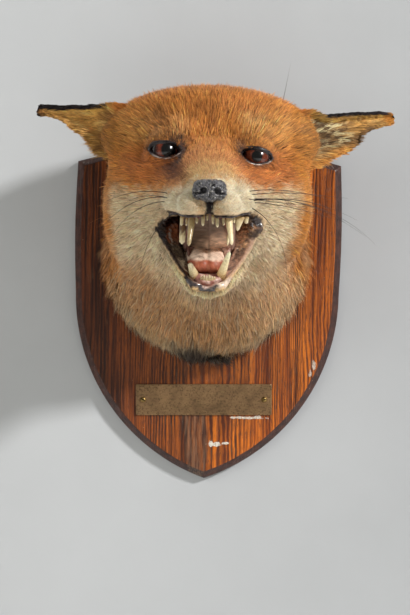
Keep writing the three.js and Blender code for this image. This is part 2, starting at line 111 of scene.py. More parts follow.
def jaw_form(p):
    d = cone(p, (0, -158, 9), (0, -95, 30), 8.5, 26, 1.15)
    return smin(d, cone(mirrored(p), (7.5, -165, 6.5), (24.5, -132, 37), 4.5, 9), 6)


def fur_form(p):
    return smin(upper_form(p), jaw_form(p), 6)


def ramp(x, a, b):
    t = np.clip((x - a) / (b - a), 0, 1)
    return t * t * (3 - 2 * t)


CY, CZ = -136.0, 43.5                    # corner of the lips
BOARD = 9.0
NECK_Y = -9.4


def jaw_uh(p):
    """u runs along the open jaw from the corner of the lips, h stands off its lip plane."""
    y, z = p[:, 1] - CY, p[:, 2] - CZ
    return -(y + z) * 0.70711, (z - y) * 0.70711


def jaw_point(x, u, h):
    return np.array([x, CY - 0.70711 * (u + h), CZ + 0.70711 * (h - u)], F)


def lip_z(p):
    low = 3.2 * ramp(-p[:, 1], 168, 193) + 0.09 * -p[:, 0] * ramp(p[:, 1], -168, -140) * (p[:, 0] < 0)
    return 50.0 - low


def gape(p):
    """The open wedge between the lips, negative inside."""
    u, h = jaw_uh(p)
    return smax(p[:, 2] - lip_z(p), -h, 12.0)


def trough(p):
    u, h = jaw_uh(p)
    w = np.interp(u, [-12, 0, 10, 26, 38, 46, 60], [25, 26.5, 25.5, 20, 13.6, 9.2, 7]).astype(F)
    w = w - (3.6 * ramp(16 - u, 0, 10) * (p[:, 0] > 0)).astype(F)
    d = np.interp(u, [-12, 0, 20, 40, 50], [10, 10, 9.5, 7.2, 6]).astype(F)
    side = (np.sqrt((p[:, 0] / w) ** 2 + (h / d) ** 2) - 1) * d
    return smax(smax(side, u - 46.5, 4.0), -15 - u, 4.0)


def cavity(p):
    d = smin(gape(p), trough(p), 1.5)
    # between teeth and cheeks it is only a pocket
    pocket = -fur_form(p) - 7.5 - 60 * ramp(18.5 - np.abs(p[:, 0]), 0, 3.5) - 3.0 * ramp(30 - p[:, 2], 0, 12)
    d = smax(d, pocket, 3.0)
    d = smin(d, ell(p, (0, -135, 36), (14.5, 16, 10)), 2)
    return d


EYES = {
    "left": dict(c=(-27.1, -122.8, 89.0), a=9.2, up=4.2, lo=4.6, turn=-5.0, mid=-0.3, pu=0.5, pupil=0.0043, gaze=(0.27, -1, 0.02)),
    "right": dict(c=(27.8, -122.8, 86.2), a=9.0, up=3.9, lo=4.5, turn=-8.5, mid=-0.3, pu=0.38, pupil=0.0031, gaze=(0.04, -1, 0.01)),
}
EYE_R = 9.2


def eye_plane(e, x, z):
    t = math.radians(e["turn"])
    X, Z = x - e["c"][0] - e["mid"], z - e["c"][2]
    return X * math.cos(t) + Z * math.sin(t), -X * math.sin(t) + Z * math.cos(t)


def almond(e, x, z):
    """How far a point lies outside the opening of the lids, about."""
    X, Z = eye_plane(e, x, z)
    s = np.clip(1 - (X / e["a"]) ** 2, 0, 1)
    up, lo = e["up"] * s ** e["pu"], e["lo"] * s ** 0.7
    d = np.maximum(Z - up, -lo - Z)
    return np.maximum(d, (np.abs(X) - e["a"]) * 0.9)


def duct(p):
    """How far a point lies from the bare inner corner of the left eye, in its own widths."""
    x, z = p[:, 0], p[:, 2]
    a = np.sqrt(((x + 17.4) / 2.8) ** 2 + ((z - 88.0) / 4.6) ** 2)
    b = np.sqrt(((x + 17.6) / 1.7) ** 2 + ((z - 82.8) / 3.6) ** 2)
    return np.where(p[:, 1] < -108, np.minimum(a, b), 9.0)


def coat_depth(p):
    """How far the skin lies below the tips of the coat."""
    d = np.interp(p[:, 1], [-205, -188, -165, -140, -120, -95, -70, -40], [0.7, 1.3, 1.9, 2.8, 3.6, 5.2, 7.5, 8.5]).astype(F)
    near = np.minimum(np.abs(gape(p)), 40.0)
    d = d * (0.3 + 0.7 * ramp(near, 0.5, 7))
    for e in EYES.values():
        r = np.sqrt((p[:, 0] - e["c"][0]) ** 2 + ((p[:, 2] - e["c"][2]) * 1.35) ** 2 + ((p[:, 1] + 130) * 0.7) ** 2)
        d = d * (0.22 + 0.78 * ramp(r, 9, 17))
    return d


def closed_skin(p):
    """The skin as if its mouth and eyes were shut."""
    d = fur_form(p) + coat_depth(p)
    for e in EYES.values():
        q = p - np.array(e["c"], F)
        d = smin(d, (np.sqrt((q ** 2).sum(-1)) - (EYE_R + 1.3)), 3.0)
    return d


def philtrum(p):
    return np.maximum(np.abs(p[:, 0] - 0.2) - 1.1, np.maximum(p[:, 2] - 57, 45 - p[:, 2]))


def skin_form(p):
    d = closed_skin(p)
    d = smax(d, -ell(p, (0.2, -200.5, 51), (1.3, 7.5, 7)), 1.2)
    # the rim of the lips swells a little before it turns in
    g = cavity(p)
    d = d - 0.55 * np.exp(-((g - 0.9) / 1.5) ** 2) * ramp(-p[:, 1], 118, 130)
    folds = 0.7 * np.sin(p[:, 1] * 1.3 + p[:, 0] * 0.9) * np.sin(p[:, 2] * 1.1 + 0.6 * p[:, 0]) * ramp(p[:, 1], -152, -142) * ramp(np.abs(p[:, 0]), 13, 16)
    d = smax(d, -(g + folds), 1.6)
    for e in EYES.values():
        c = np.array(e["c"], F)
        q = p - c
        ball = np.sqrt((q ** 2).sum(-1)) - EYE_R
        hole = np.maximum(almond(e, p[:, 0], p[:, 2]) - 0.6, q[:, 1])
        d = smax(d, -hole, 1.2)
        d = smax(d, -(ball - 0.25), 0.4)
    d = smax(d, -(np.sqrt(((p - np.array([0, -197.5, 61], F)) ** 2).sum(-1)) - 6.2), 1)
    return smax(d, p[:, 1] - NECK_Y, 0.5)


# ------------------------------------------------------------------ surface nets
def net(f, lo, hi, h, project=3, block=4):
    """Vertices and quads of the surface f = 0 in a box, with cells h wide."""
    lo, hi = np.array(lo, float), np.array(hi, float)
    n = np.ceil((hi - lo) / h / block).astype(int) * block + 1
    cb = (n - 1) // block
    ctr = [lo[i] + (np.arange(cb[i]) + 0.5) * block * h for i in range(3)]
    C = np.stack(np.meshgrid(*ctr, indexing="ij"), -1).reshape(-1, 3).astype(F)
    cv = f(C)
    reach = block * h * 1.7 + 2.0
    near = (np.abs(cv) < reach).reshape(cb)
    sign = np.where(cv < 0, -1.0, 1.0).astype(F).reshape(cb)
    val = np.ones(n, F)
    big = np.repeat(np.repeat(np.repeat(sign, block, 0), block, 1), block, 2)
    val[:-1, :-1, :-1] = big
    mask = np.zeros(n, bool)
    nb = np.repeat(np.repeat(np.repeat(near, block, 0), block, 1), block, 2)
    for i in (0, 1):
        for j in (0, 1):
            for k in (0, 1):
                mask[i:i + nb.shape[0], j:j + nb.shape[1], k:k + nb.shape[2]] |= nb
    idx = np.argwhere(mask)
    P = (lo + idx * h).astype(F)
    out = np.empty(len(P), F)
    for s in range(0, len(P), 400000):
        out[s:s + 400000] = f(P[s:s + 400000])
    val[mask] = out
    ins = val < 0
    # one vertex in each cell that the surface crosses
    c = [slice(None, -1), slice(1, None)]
    corners = np.stack([ins[c[i], c[j], c[k]] for i in (0, 1) for j in (0, 1) for k in (0, 1)], -1)
    tot = corners.sum(-1)
    act = (tot > 0) & (tot < 8)
    cells = np.argwhere(act)
    num = -np.ones(act.shape, np.int64)
    num[act] = np.arange(len(cells))
    acc = np.zeros((len(cells), 3))
    cnt = np.zeros(len(cells))
    ofs = [(i, j, k) for i in (0, 1) for j in (0, 1) for k in (0, 1)]
    for a in ofs:
        for ax in range(3):
            if a[ax]:
                continue
            b = list(a)
            b[ax] = 1
            va = val[tuple((cells + a).T)].astype(float)
            vb = val[tuple((cells + b).T)].astype(float)
            cross = (va < 0) != (vb < 0)
            t = np.where(cross, va / np.where(cross, va - vb, 1), 0)
            pt = np.array(a)[None, :] + t[:, None] * np.eye(3)[ax][None, :]
            acc += pt * cross[:, None]
            cnt += cross
    V = lo + (cells + acc / cnt[:, None]) * h
    quads = []
    for ax in range(3):
        o1, o2 = [(1, 2), (2, 0), (0, 1)][ax]
        A = ins
        s0 = [slice(None)] * 3
        s1 = [slice(None)] * 3
        s0[ax], s1[ax] = slice(None, -1), slice(1, None)
        chg = A[tuple(s0)] != A[tuple(s1)]
        e = np.argwhere(chg)
        ok = (e[:, o1] > 0) & (e[:, o2] > 0) & (e[:, o1] < act.shape[o1]) & (e[:, o2] < act.shape[o2])
        e = e[ok]
        inside = A[tuple(e.T)]
        d1, d2 = np.zeros(3, int), np.zeros(3, int)
        d1[o1], d2[o2] = 1, 1
        q = np.stack([num[tuple((e - d1 - d2).T)], num[tuple((e - d2).T)], num[tuple(e.T)], num[tuple((e - d1).T)]], -1)
        q = np.where(inside[:, None], q, q[:, ::-1])
        quads.append(q)
    Q = np.concatenate(quads)
    Q = Q[(Q >= 0).all(1)]
    for _ in range(project):
        g, d = grad(f, V)
        V = V - np.clip(d, -0.4 * h, 0.4 * h)[:, None] * g
    return V, Q


def grad(f, V, e=0.25):
    """Unit gradient, and the distance to the surface as far as it can be told."""
    P = V.astype(F)
    v = f(P)
    g = np.stack([f(P + np.array(d, F) * e) - f(P - np.array(d, F) * e) for d in np.eye(3)], -1) / (2 * e)
    n = np.linalg.norm(g, axis=1)
    n = np.maximum(n, 0.2)
    return g / n[:, None], v / n


# ------------------------------------------------------------------ small helpers
def waves(p, scale, seed, n=10):
    """Smooth noise between about -1 and 1; scale is the size of its blobs in millimetres."""
    r = np.random.default_rng(seed)
    k = r.normal(size=(n, 3))
    k *= (2 * np.pi / scale / np.linalg.norm(k, axis=1) * r.uniform(0.6, 1.5, n))[:, None]
    ph = r.uniform(0, 2 * np.pi, n)
    s = np.zeros(len(p))
    for i in range(n):
        s += np.sin(p @ k[i] + ph[i])
    return s / math.sqrt(n / 2) * 0.6


def lin(c):
    c = np.array(c, float) / 255
    return np.where(c <= 0.04045, c / 12.92, ((c + 0.055) / 1.055) ** 2.4)


def hexlin(r, g, b):
    return tuple(float(v) for v in lin((r, g, b))) + (1.0,)


def build(name, V, faces, mats, midx=None, col=None, smooth=True, uv=None, uvname="OFBake", normals=None, origin=(0, 0, 0)):
    """A mesh object from vertices in millimetres and arrays of quads or triangles."""
    me = bpy.data.meshes.new(name)
    V = (np.asarray(V, float) - np.array(origin)) * MM
    me.vertices.add(len(V))
    me.vertices.foreach_set("co", V.astype(F).ravel())
    loops = np.concatenate([f.ravel() for f in faces]).astype(np.int32)
    tot = np.concatenate([np.full(len(f), f.shape[1]) for f in faces]).astype(np.int32)
    start = np.concatenate([[0], np.cumsum(tot)[:-1]]).astype(np.int32)
    me.loops.add(len(loops))
    me.loops.foreach_set("vertex_index", loops)
    me.polygons.add(len(tot))
    me.polygons.foreach_set("loop_start", start)
    if midx is not None:
        me.polygons.foreach_set("material_index", midx.astype(np.int32))
    me.update(calc_edges=True)
    me.polygons.foreach_set("use_smooth", np.full(len(tot), smooth))
    if col is not None:
        a = me.color_attributes.new("Col", "FLOAT_COLOR", "POINT")
        rgba = np.ones((len(V), 4), F)
        rgba[:, :3] = col
        a.data.foreach_set("color", rgba.ravel())
    if uv is not None:
        l = me.uv_layers.new(name=uvname)
        l.data.foreach_set("uv", uv[loops].astype(F).ravel())
    if normals is not None:
        me.normals_split_custom_set_from_vertices(normals.astype(F))
    for m in mats:
        me.materials.append(m)
    o = bpy.data.objects.new(name, me)
    o.location = Vector(origin) * MM
    bpy.context.scene.collection.objects.link(o)
    return o


class Nodes:
    """A short way to write node materials."""

    def __init__(self, name):
        self.m = bpy.data.materials.new(name)
        self.m.use_nodes = True
        self.t = self.m.node_tree
        self.b = self.t.nodes["Principled BSDF"]

    def n(self, kind, **kw):
        node = self.t.nodes.new(kind)
        for k, v in kw.items():
            if k.startswith("i_"):
                self.put(node.inputs[k[2:].replace("_", " ")], v)
            elif k.startswith("n_"):
                self.put(node.inputs[int(k[2:])], v)
            else:
                setattr(node, k, v)
        return node

    def put(self, sock, v):
        if isinstance(v, bpy.types.NodeSocket):
            self.t.links.new(v, sock)
        else:
            sock.default_value = v

    def math(self, op, a, b=0.0, c=0.0, clamp=False):
        x = self.n("ShaderNodeMath", operation=op, use_clamp=clamp)
        for i, v in enumerate((a, b, c)):
            self.put(x.inputs[i], v)
        return x.outputs[0]

    def coords(self, scale=(1, 1, 1), loc=(0, 0, 0), rot=(0, 0, 0)):
        tc = self.n("ShaderNodeTexCoord")
        mp = self.n("ShaderNodeMapping")
        self.put(mp.inputs["Vector"], tc.outputs["Object"])
        mp.inputs["Scale"].default_value = scale
        mp.inputs["Location"].default_value = loc
        mp.inputs["Rotation"].default_value = rot
        return mp.outputs[0]

    def noise(self, vec, scale, detail=4.0, rough=0.55, dist=0.0):
        x = self.n("ShaderNodeTexNoise", i_Scale=scale, i_Detail=detail, i_Roughness=rough, i_Distortion=dist)
        self.put(x.inputs["Vector"], vec)
        return x.outputs["Fac"]

    def map(self, v, a, b, c=0.0, d=1.0, clamp=True):
        x = self.n("ShaderNodeMapRange", clamp=clamp)
        for i, k in enumerate((v, a, b, c, d)):
            self.put(x.inputs[i], k)
        return x.outputs[0]

    def mix(self, f, a, b, blend="MIX"):
        x = self.n("ShaderNodeMix", data_type="RGBA", blend_type=blend)
        self.put(x.inputs[0], f)
        self.put(x.inputs[6], a)
        self.put(x.inputs[7], b)
        return x.outputs[2]

    def attr(self, name):
        return self.n("ShaderNodeAttribute", attribute_name=name).outputs["Color"]

    def bump(self, h, strength, dist=0.0004, normal=None):
        x = self.n("ShaderNodeBump", i_Strength=strength, i_Distance=dist, i_Height=h)
        if normal is not None:
            self.put(x.inputs["Normal"], normal)
        return x.outputs[0]

    def out(self, **kw):
        for k, v in kw.items():
            self.put(self.b.inputs[k.replace("_", " ")], v)
        return self.m


def piece(o, slot, *nodes):
    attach(o, "root")
    if nodes:
        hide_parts(*nodes)
    return o


# ------------------------------------------------------------------ markings
def toward(c, rgb, m):
    return c + (lin(rgb)[None, :] - c) * np.clip(m, 0, 1)[:, None]


def tuft_at(p):
    """One in the dark tuft under the throat, nothing elsewhere."""
    d = np.sqrt(((p[:, 0] + 8) / 18) ** 2 + ((p[:, 2] + 32) / 11.5) ** 2)
    return ramp(1.2 - d + 0.2 * waves(p, 3.2, 4), 0, 0.5) * ramp(p[:, 1], -60, -38)


def markings(p):
    """The colour of skin and coat at points p, in millimetres, as linear RGB."""
    p = np.asarray(p, float)
    x, y, z = p[:, 0], p[:, 1], p[:, 2]
    ax = np.abs(x)
    w1, w2, w3 = waves(p, 22, 1), waves(p, 7, 2), waves(p, 3.2, 3)
    c = np.tile(lin((206, 132, 62)), (len(p), 1))
    # crown: a little duller, flecked with dark hairs
    c = toward(c, (222, 140, 72), ramp(z, 104, 122) * (0.45 + 0.3 * w1))
    c = toward(c, (98, 56, 30), ramp(w3 + 0.5 * w2, 0.55, 1.25) * ramp(z, 92, 112) * 0.48)
    # above and between the eyes it is paler and more orange
    c = toward(c, (238, 150, 78), ramp(22 - ax + 3 * w2, 0, 16) * ramp(z, 74, 92) * ramp(112 - z, 0, 16) * 0.6)
    # ochre over the outer half of the brows
    c = toward(c, (206, 154, 88), ramp(ax, 20, 36) * ramp(z, 86, 98) * ramp(120 - z, 0, 14) * (0.45 + 0.35 * w2))
    for cx, cz, rx, rz, rgb, k in ((-29, 108.5, 9, 6, (112, 70, 38), 0.55), (-18.5, 103, 6, 7, (232, 168, 104), 0.6), (24, 106, 8, 6, (236, 178, 116), 0.6), (-6, 112, 7, 5, (134, 78, 38), 0.4)):
        d = np.sqrt(((x - cx) / rx) ** 2 + ((z - cz) / rz) ** 2)
        c = toward(c, rgb, ramp(1.3 - d + 0.35 * w3 + 0.2 * w2, 0, 0.9) * k)
    # a dark parting down the crown
    c = toward(c, (92, 50, 24), np.exp(-((x - 1.5 - 0.8 * w2) / 1.8) ** 2) * ramp(z, 98, 108) * ramp(w3 + 0.6, 0, 0.9) * 0.6)
    # redder round and below the eyes
    for s, e in ((-1, EYES["left"]), (1, EYES["right"])):
        r = np.sqrt(((x - e["c"][0] - 4 * s) / 1.45) ** 2 + (z - e["c"][2] + 8) ** 2)
        c = toward(c, (186, 106, 50), ramp(18 + 3 * w2 - r, 0, 10) * 0.75)
    # the bridge pales towards the nose
    c = toward(c, (228, 150, 88), ramp(-y, 128, 150) * ramp(z, 62, 70) * ramp(24 - ax, 0, 12) * 0.85)
    c = toward(c, (232, 178, 118), ramp(-y, 152, 172) * ramp(z, 62, 68) * ramp(22 - ax, 0, 12) * 0.8)
    # cream cheeks, lips and muzzle
    edge = np.interp(x, [-64, -51, -30, -18.5, -13.7, -8, 0, 11.7, 18.7, 24, 30, 36.5, 44, 54.5, 64], [73, 67.5, 62.5, 63, 65.5, 67, 68.5, 69, 68, 66, 65, 66.5, 69.5, 70, 70])
    edge = edge + 2.6 * w2 + 1.6 * w3
    cream = ramp(edge - z, -3.5, 5)
    c = toward(c, (226, 196, 158), cream)
    c = toward(c, (250, 225, 188), cream * ramp(-y, 150, 178) * 0.7)
    c = toward(c, (205, 150, 92), ramp(0.9 - np.abs(ax - 4.5) / 4.5 + 0.3 * w3, 0, 0.8) * ramp(-y, 183, 192) * ramp(6 - np.abs(z - 51.5), 0, 4) * 0.55)
    # grey and fawn breaks into the cheeks
    c = toward(c, (182, 152, 110), cream * ramp(ax, 34, 52) * ramp(w2 + 0.6 * w1, -0.1, 1.0) * 0.6)
    # a brown throat and collar
    line = np.interp(ax, [0, 12, 26, 40, 56, 70], [0, 4, 14, 22, 24, 20]) + 3 * w1 + 2 * w2
    throat = ramp(line - z, -14, 12) * ramp(y, -158, -140)
    c = toward(c, (182, 130, 78), throat * 0.95)
    c = toward(c, (226, 178, 128), throat * ramp(x + 3 * w1, 12, 40) * 0.55)
    c = toward(c, (132, 94, 58), throat * ramp(w2 + 0.4 * w1, 0.2, 1.2) * 0.5)
    c = toward(c, (172, 132, 84), throat * ramp(y, -62, -34) * ramp(18 - z, 0, 24) * (0.6 + 0.3 * w1))
    c = toward(c, (92, 68, 48), throat * ramp(y, -30, -16) * ramp(10 - z, 0, 20) * 0.8)
    # orange flanks, behind the cheeks
    side = np.where(x < 0, ramp(-x + w2, 50.0, 55.0) * ramp(y, -116, -104), ramp(x + w2, 43.0, 50.0) * ramp(y, -122, -110))
    flank = np.maximum(side, ramp(y, -90, -74) * ramp(ax, 42, 50)) * ramp(z + 2 * w2, 8, 24)
    c = toward(c, (186, 118, 43), flank * (0.9 + 0.2 * w1))
    # ochre where the ears join, and brown painted shade in the crease between ear and head
    c = toward(c, (176, 124, 62), ramp(ax, 46, 56) * ramp(z, 84, 94) * ramp(122 - z, 0, 12) * (0.6 + 0.4 * w2))
    c = toward(c, (112, 66, 36), ramp(ax, 50, 58) * ramp(z, 86, 96) * ramp(114 - z, 0, 12) * ramp(w2, -0.2, 0.8) * 0.6)
    # nape
    c = toward(c, (150, 84, 42), ramp(y, -60, -30) * ramp(z, 88, 106) * 0.6)
    # dark tuft under the throat
    c = toward(c, (32, 20, 12), tuft_at(p) * 0.98)
    # chin
    chin = ramp(-y, 138, 152) * ramp(24 - z, 0, 8)
    c = toward(c, (255, 214, 160), chin)
    # the dark stain from the left eye's inner corner, and a faint one on the right
    d = np.sqrt(((x + 20.5 + 0.35 * (z - 75)) / 7.6) ** 2 + ((z - 76) / 10) ** 2)
    c = toward(c, (112, 58, 32), ramp(1.3 - d + 0.35 * w3 + 0.25 * w2, 0, 0.9) * 0.8)
    c = toward(c, (66, 36, 24), ramp(1.0 - d + 0.6 * w3, 0, 0.9) * 0.65)
    # a dark band over the left eye, just above the lid
    d = np.sqrt(((x + 22.5) / 8.0) ** 2 + ((z - 95.4 + 0.05 * (x + 22)) / 2.6) ** 2)
    c = toward(c, (48, 38, 34), ramp(1.25 - d + 0.5 * w3 + 0.3 * w2, 0, 0.7) * (y < -104) * 0.85)
    # and grey ones at the inner corner of the right
    d = np.sqrt(((x - 18.4) / 2.4) ** 2 + ((z - 89.0) / 5.0) ** 2)
    c = toward(c, (92, 76, 70), ramp(1.25 - d + 0.4 * w3, 0, 0.6) * (y < -106) * 0.8)
    d = np.sqrt(((x - 17) / 4.5) ** 2 + ((z - 81) / 6) ** 2)
    c = toward(c, (130, 72, 38), ramp(1.2 - d + 0.2 * w3, 0, 0.8) * 0.5)
    c = toward(c, (52, 44, 46), ramp(1.5 - duct(p) + 0.35 * w3, 0, 0.45) * 0.92)
    c = toward(c, (128, 118, 118), ramp(1.1 - duct(p), 0, 0.4) * ramp(w3, 0.3, 0.9) * 0.8)
    # lids
    for e in EYES.values():
        a = almond(e, x, z)
        c = toward(c, (64, 40, 28), ramp(2.2 - a + 0.6 * w3, 0, 1.6) * (y < -112) * 0.85)
    # the groove below the nose and the hairless edge of the lips
    c = toward(c, (40, 30, 30), ramp(2.7 + 0.9 * ramp(49.5 - z, 0, 3) + 1.2 * ramp(z, 53, 56) - np.abs(x - 0.2) + 0.3 * w3, 0, 0.8) * ramp(-y, 184, 187) * ramp(58 - z, 0, 1))
    return np.clip(c, 0.002, 1)


def lining(p):
    """The inside of the mouth: dark on one side, brown and pink on the other."""
    p = np.asarray(p, float)
    x, y, z = p.T
    w1, w2, w3 = waves(p, 9, 11), waves(p, 3, 12), waves(p, 1.5, 13)
    # left: grey-green and speckled below, red-brown flesh above, and black painted shadow under the upper lip at the
    # top corner
    c = np.tile(lin((98, 86, 70)), (len(p), 1))
    c = toward(c, (158, 146, 118), ramp(w2 + 0.9 * w3, 0.3, 1.4) * 0.7)
    c = toward(c, (38, 36, 36), ramp(-w2 + 0.7 * w3, 0.5, 1.3) * 0.7)
    c = toward(c, (182, 112, 74), ramp(z + 2 * w2, 32, 36) * ramp(-x, 12, 16) * ramp(x + 27, 0, 3) * 0.95)
    c = toward(c, (112, 54, 38), ramp(z + 2 * w2, 32, 36) * ramp(w3 + 0.5 * w2, 0.1, 0.9) * 0.7)
    # painted shadow: black under the upper lip at the top corner
    c = toward(c, (30, 22, 26), ramp(z + 2 * w2 - 0.5 * (x + 20), 43, 47) * 0.9)
    # right: brown and orange above, pink and grey below
    r = ramp(x, 3, 14)
    c = toward(c, (150, 124, 106), r * ramp(34 - z, 0, 4) * (0.75 + 0.3 * w2))
    c = toward(c, (206, 160, 134), r * ramp(30 - z, 0, 8) * ramp(w1 + 0.6 * w2, -0.2, 0.9) * 0.8)
    c = toward(c, (250, 206, 160), r * ramp(z + 2 * w2, 29, 32) * ramp(w2, -1.2, 0.3))
    c = toward(c, (206, 158, 116), r * ramp(z + 2.5 * w2 + 1.5 * w3, 38.5, 42) * 0.85)
    c = toward(c, (150, 88, 50), r * ramp(z, 38, 42) * ramp(w3 + w2, 0.3, 1.2) * ramp(46.5 - z, 0, 2) * 0.8)
    c = toward(c, (226, 216, 200), r * ramp(1.1 - np.hypot((x - 17.5) / 3.0, (z - 32.5) / 2.6) + 0.9 * w3, 0.5, 1.0) * 0.8)
    # painted shade: darker towards the back of the mouth, near black in the throat
    c = toward(c, (120, 82, 74), ramp(y, -138, -130) * ramp(19 - np.abs(x), 0, 3) * 0.9)
    c = toward(c, (24, 16, 14), ramp(y, -126, -120) * ramp(19 - np.abs(x), 0, 3) * 0.9)
    c = toward(c, (150, 96, 88), ramp(14 - np.abs(x), 0, 5) * ramp(-y, 158, 166) * ramp(20 - z, 0, 6) * 0.8)
    # painted highlights: strips and spots of white gloss
    c = toward(c, (236, 232, 224), ramp(1.0 - np.hypot((x + 22.6 + 0.22 * (z - 36) + 0.5 * np.sin(z * 0.7)) / 0.6, (z - 37) / 6.5) + 0.3 * w3, 0, 0.3) * 0.95)
    c = toward(c, (236, 230, 222), ramp(1.0 - np.hypot((x - 14.5) / 2.2, (z - 15.5) / 1.4) + 0.4 * w3, 0, 0.3) * 0.95)
    return np.clip(c, 0.002, 1)


def lip_edge(c, p, g):
    """Colours the bare rim: black above, grey and pink below; g is the distance outside the cavity."""
    x, y, z = np.asarray(p, float).T
    w = waves(p, 3, 21)
    u, h = jaw_uh(p.astype(F))
    lower = ramp(1.5 - h, 0, 1.5) * ramp(44 - z, 0, 2)
    upper = 1 - lower
    wide = np.where(lower > 0.5, np.where(z < 13, 3.0, 1.4 + 0.5 * ramp(z, 26, 34)), 1.2) + 0.3 * w
    m = ramp(wide - g, 0, 0.7)
    rim = np.tile(lin((44, 32, 30)), (len(x), 1))
    rim = toward(rim, (150, 100, 74), lower * ramp(z, 12, 18) * 0.8 * ramp(x, -4, 4))
    rim = toward(rim, (128, 92, 70), lower * ramp(z, 12, 18) * ramp(g, 0.6, 1.1) * ramp(-x, 0, 6) * ramp(34 - z, 0, 6) * 0.8)
    rim = toward(rim, (214, 176, 150), lower * ramp(x, 4, 12) * ramp(z, 6, 14) * 0.85)
    rim = toward(rim, (60, 54, 60), lower * ramp(13 - z, 0, 4) * ramp(8 - x, 0, 5) * 0.95)
    # painted highlights: pale and near-white marks on the wet lower lip
    rim = toward(rim, (214, 184, 170), lower * ramp(13 - z, 0, 4) * ramp(1.5 - g + 0.4 * w, 0, 0.5) * ramp(x, -10, -5) * 0.9)
    rim = toward(rim, (252, 230, 208), lower * ramp(14 - z, 0, 4) * ramp(x + w, 4, 7) * 0.9)
    rim = toward(rim, (34, 27, 28), lower * ramp(z, 34, 38) * 0.9)
    return c + (rim - c) * m[:, None]


# ------------------------------------------------------------------ materials
def fur_material(name, rough=0.62):
    N = Nodes(name)
    v = N.coords()
    n1 = N.noise(v, 900, 3)
    n2 = N.noise(v, 160, 2)
    f = N.math("ADD", N.math("MULTIPLY", n1, 0.5), N.math("MULTIPLY", n2, 0.5))
    col = N.mix(1.0, N.attr("Col"), N.mix(N.map(f, 0.3, 0.7), (0.9, 0.895, 0.89, 1), (1.1, 1.1, 1.09, 1)), "MULTIPLY")
    return N.out(Base_Color=col, Roughness=rough, Specular_IOR_Level=0.28, Sheen_Weight=0.12, Sheen_Roughness=0.5,
                 Normal=N.bump(n1, 0.25, 0.0002))


def skin_material():
    N = Nodes("hide")
    v = N.coords()
    n1 = N.noise(v, 700, 4)
    fine = N.noise(N.coords(scale=(1, 0.3, 1)), 2600, 2)
    col = N.mix(1.0, N.attr("Col"), N.mix(N.map(n1, 0.3, 0.7), (0.55, 0.53, 0.5, 1), (0.95, 0.93, 0.9, 1)), "MULTIPLY")
    return N.out(Base_Color=col, Roughness=0.75, Specular_IOR_Level=0.25, Normal=N.bump(fine, 0.7, 0.0004))


def lining_material():
    N = Nodes("mouth_lining")
    v = N.coords()
    n1 = N.noise(v, 420, 5, 0.6)
    n2 = N.noise(v, 1500, 3)
    col = N.mix(1.0, N.attr("Col"), N.mix(N.map(n1, 0.35, 0.65), (0.55, 0.52, 0.5, 1), (1.3, 1.25, 1.2, 1)), "MULTIPLY")
    return N.out(Base_Color=col, Roughness=N.map(n2, 0.3, 0.7, 0.16, 0.42), Specular_IOR_Level=0.5, Coat_Weight=0.55,
                 Coat_Roughness=0.12, Normal=N.bump(N.math("ADD", n1, N.math("MULTIPLY", n2, 0.4)), 0.55, 0.0006))


def unwrap(p):
    """An unwrap of the skin's own shape, like a sock opened round the nose."""
    p = np.asarray(p, float)
    x, y, z = p.T
    rho = np.hypot(x, z - 45)
    s = np.clip((y + 206 + 0.8 * rho) / 250, 0, 1)
    t = np.arctan2(x, z - 45)
    return np.stack([0.5 + 0.46 * s * np.cos(t), 0.5 + 0.46 * s * np.sin(t)], -1)


# ------------------------------------------------------------------ the skin
H = 1.15
LO, HI = (-72, -206, -40), (70, -7, 137)
V, Q = net(skin_form, LO, HI, H)
g_cav = cavity(V.astype(F))
cs = closed_skin(V.astype(F))
inside_mouth = (g_cav < 1.2) & (cs < -1.3) & (V[:, 1] < -100)
cV = markings(V)
cV = lip_edge(cV, V, g_cav)
wet = ramp(-cs, 0.6, 2.2) * ramp(2.5 - g_cav, 0, 1.5) * (V[:, 1] < -105)
cV = cV + (lining(V) - cV) * wet[:, None]
face_mouth = (wet[Q].mean(1) > 0.35)
low_lip = (g_cav < 2.6) & (V[:, 2] < 12) & (V[:, 1] < -160) & (cavity(V.astype(F)) > -1)
up_lip = (g_cav < 0.9) & (V[:, 1] < -112) & (V[:, 2] < 54)
face_mouth |= (low_lip | up_lip)[Q].all(1)
skin = build("hide", V, [Q], [skin_material(), lining_material()], face_mouth.astype(int), col=cV)
piece(skin, "fur_head", "neck", "head", "lower_jaw")


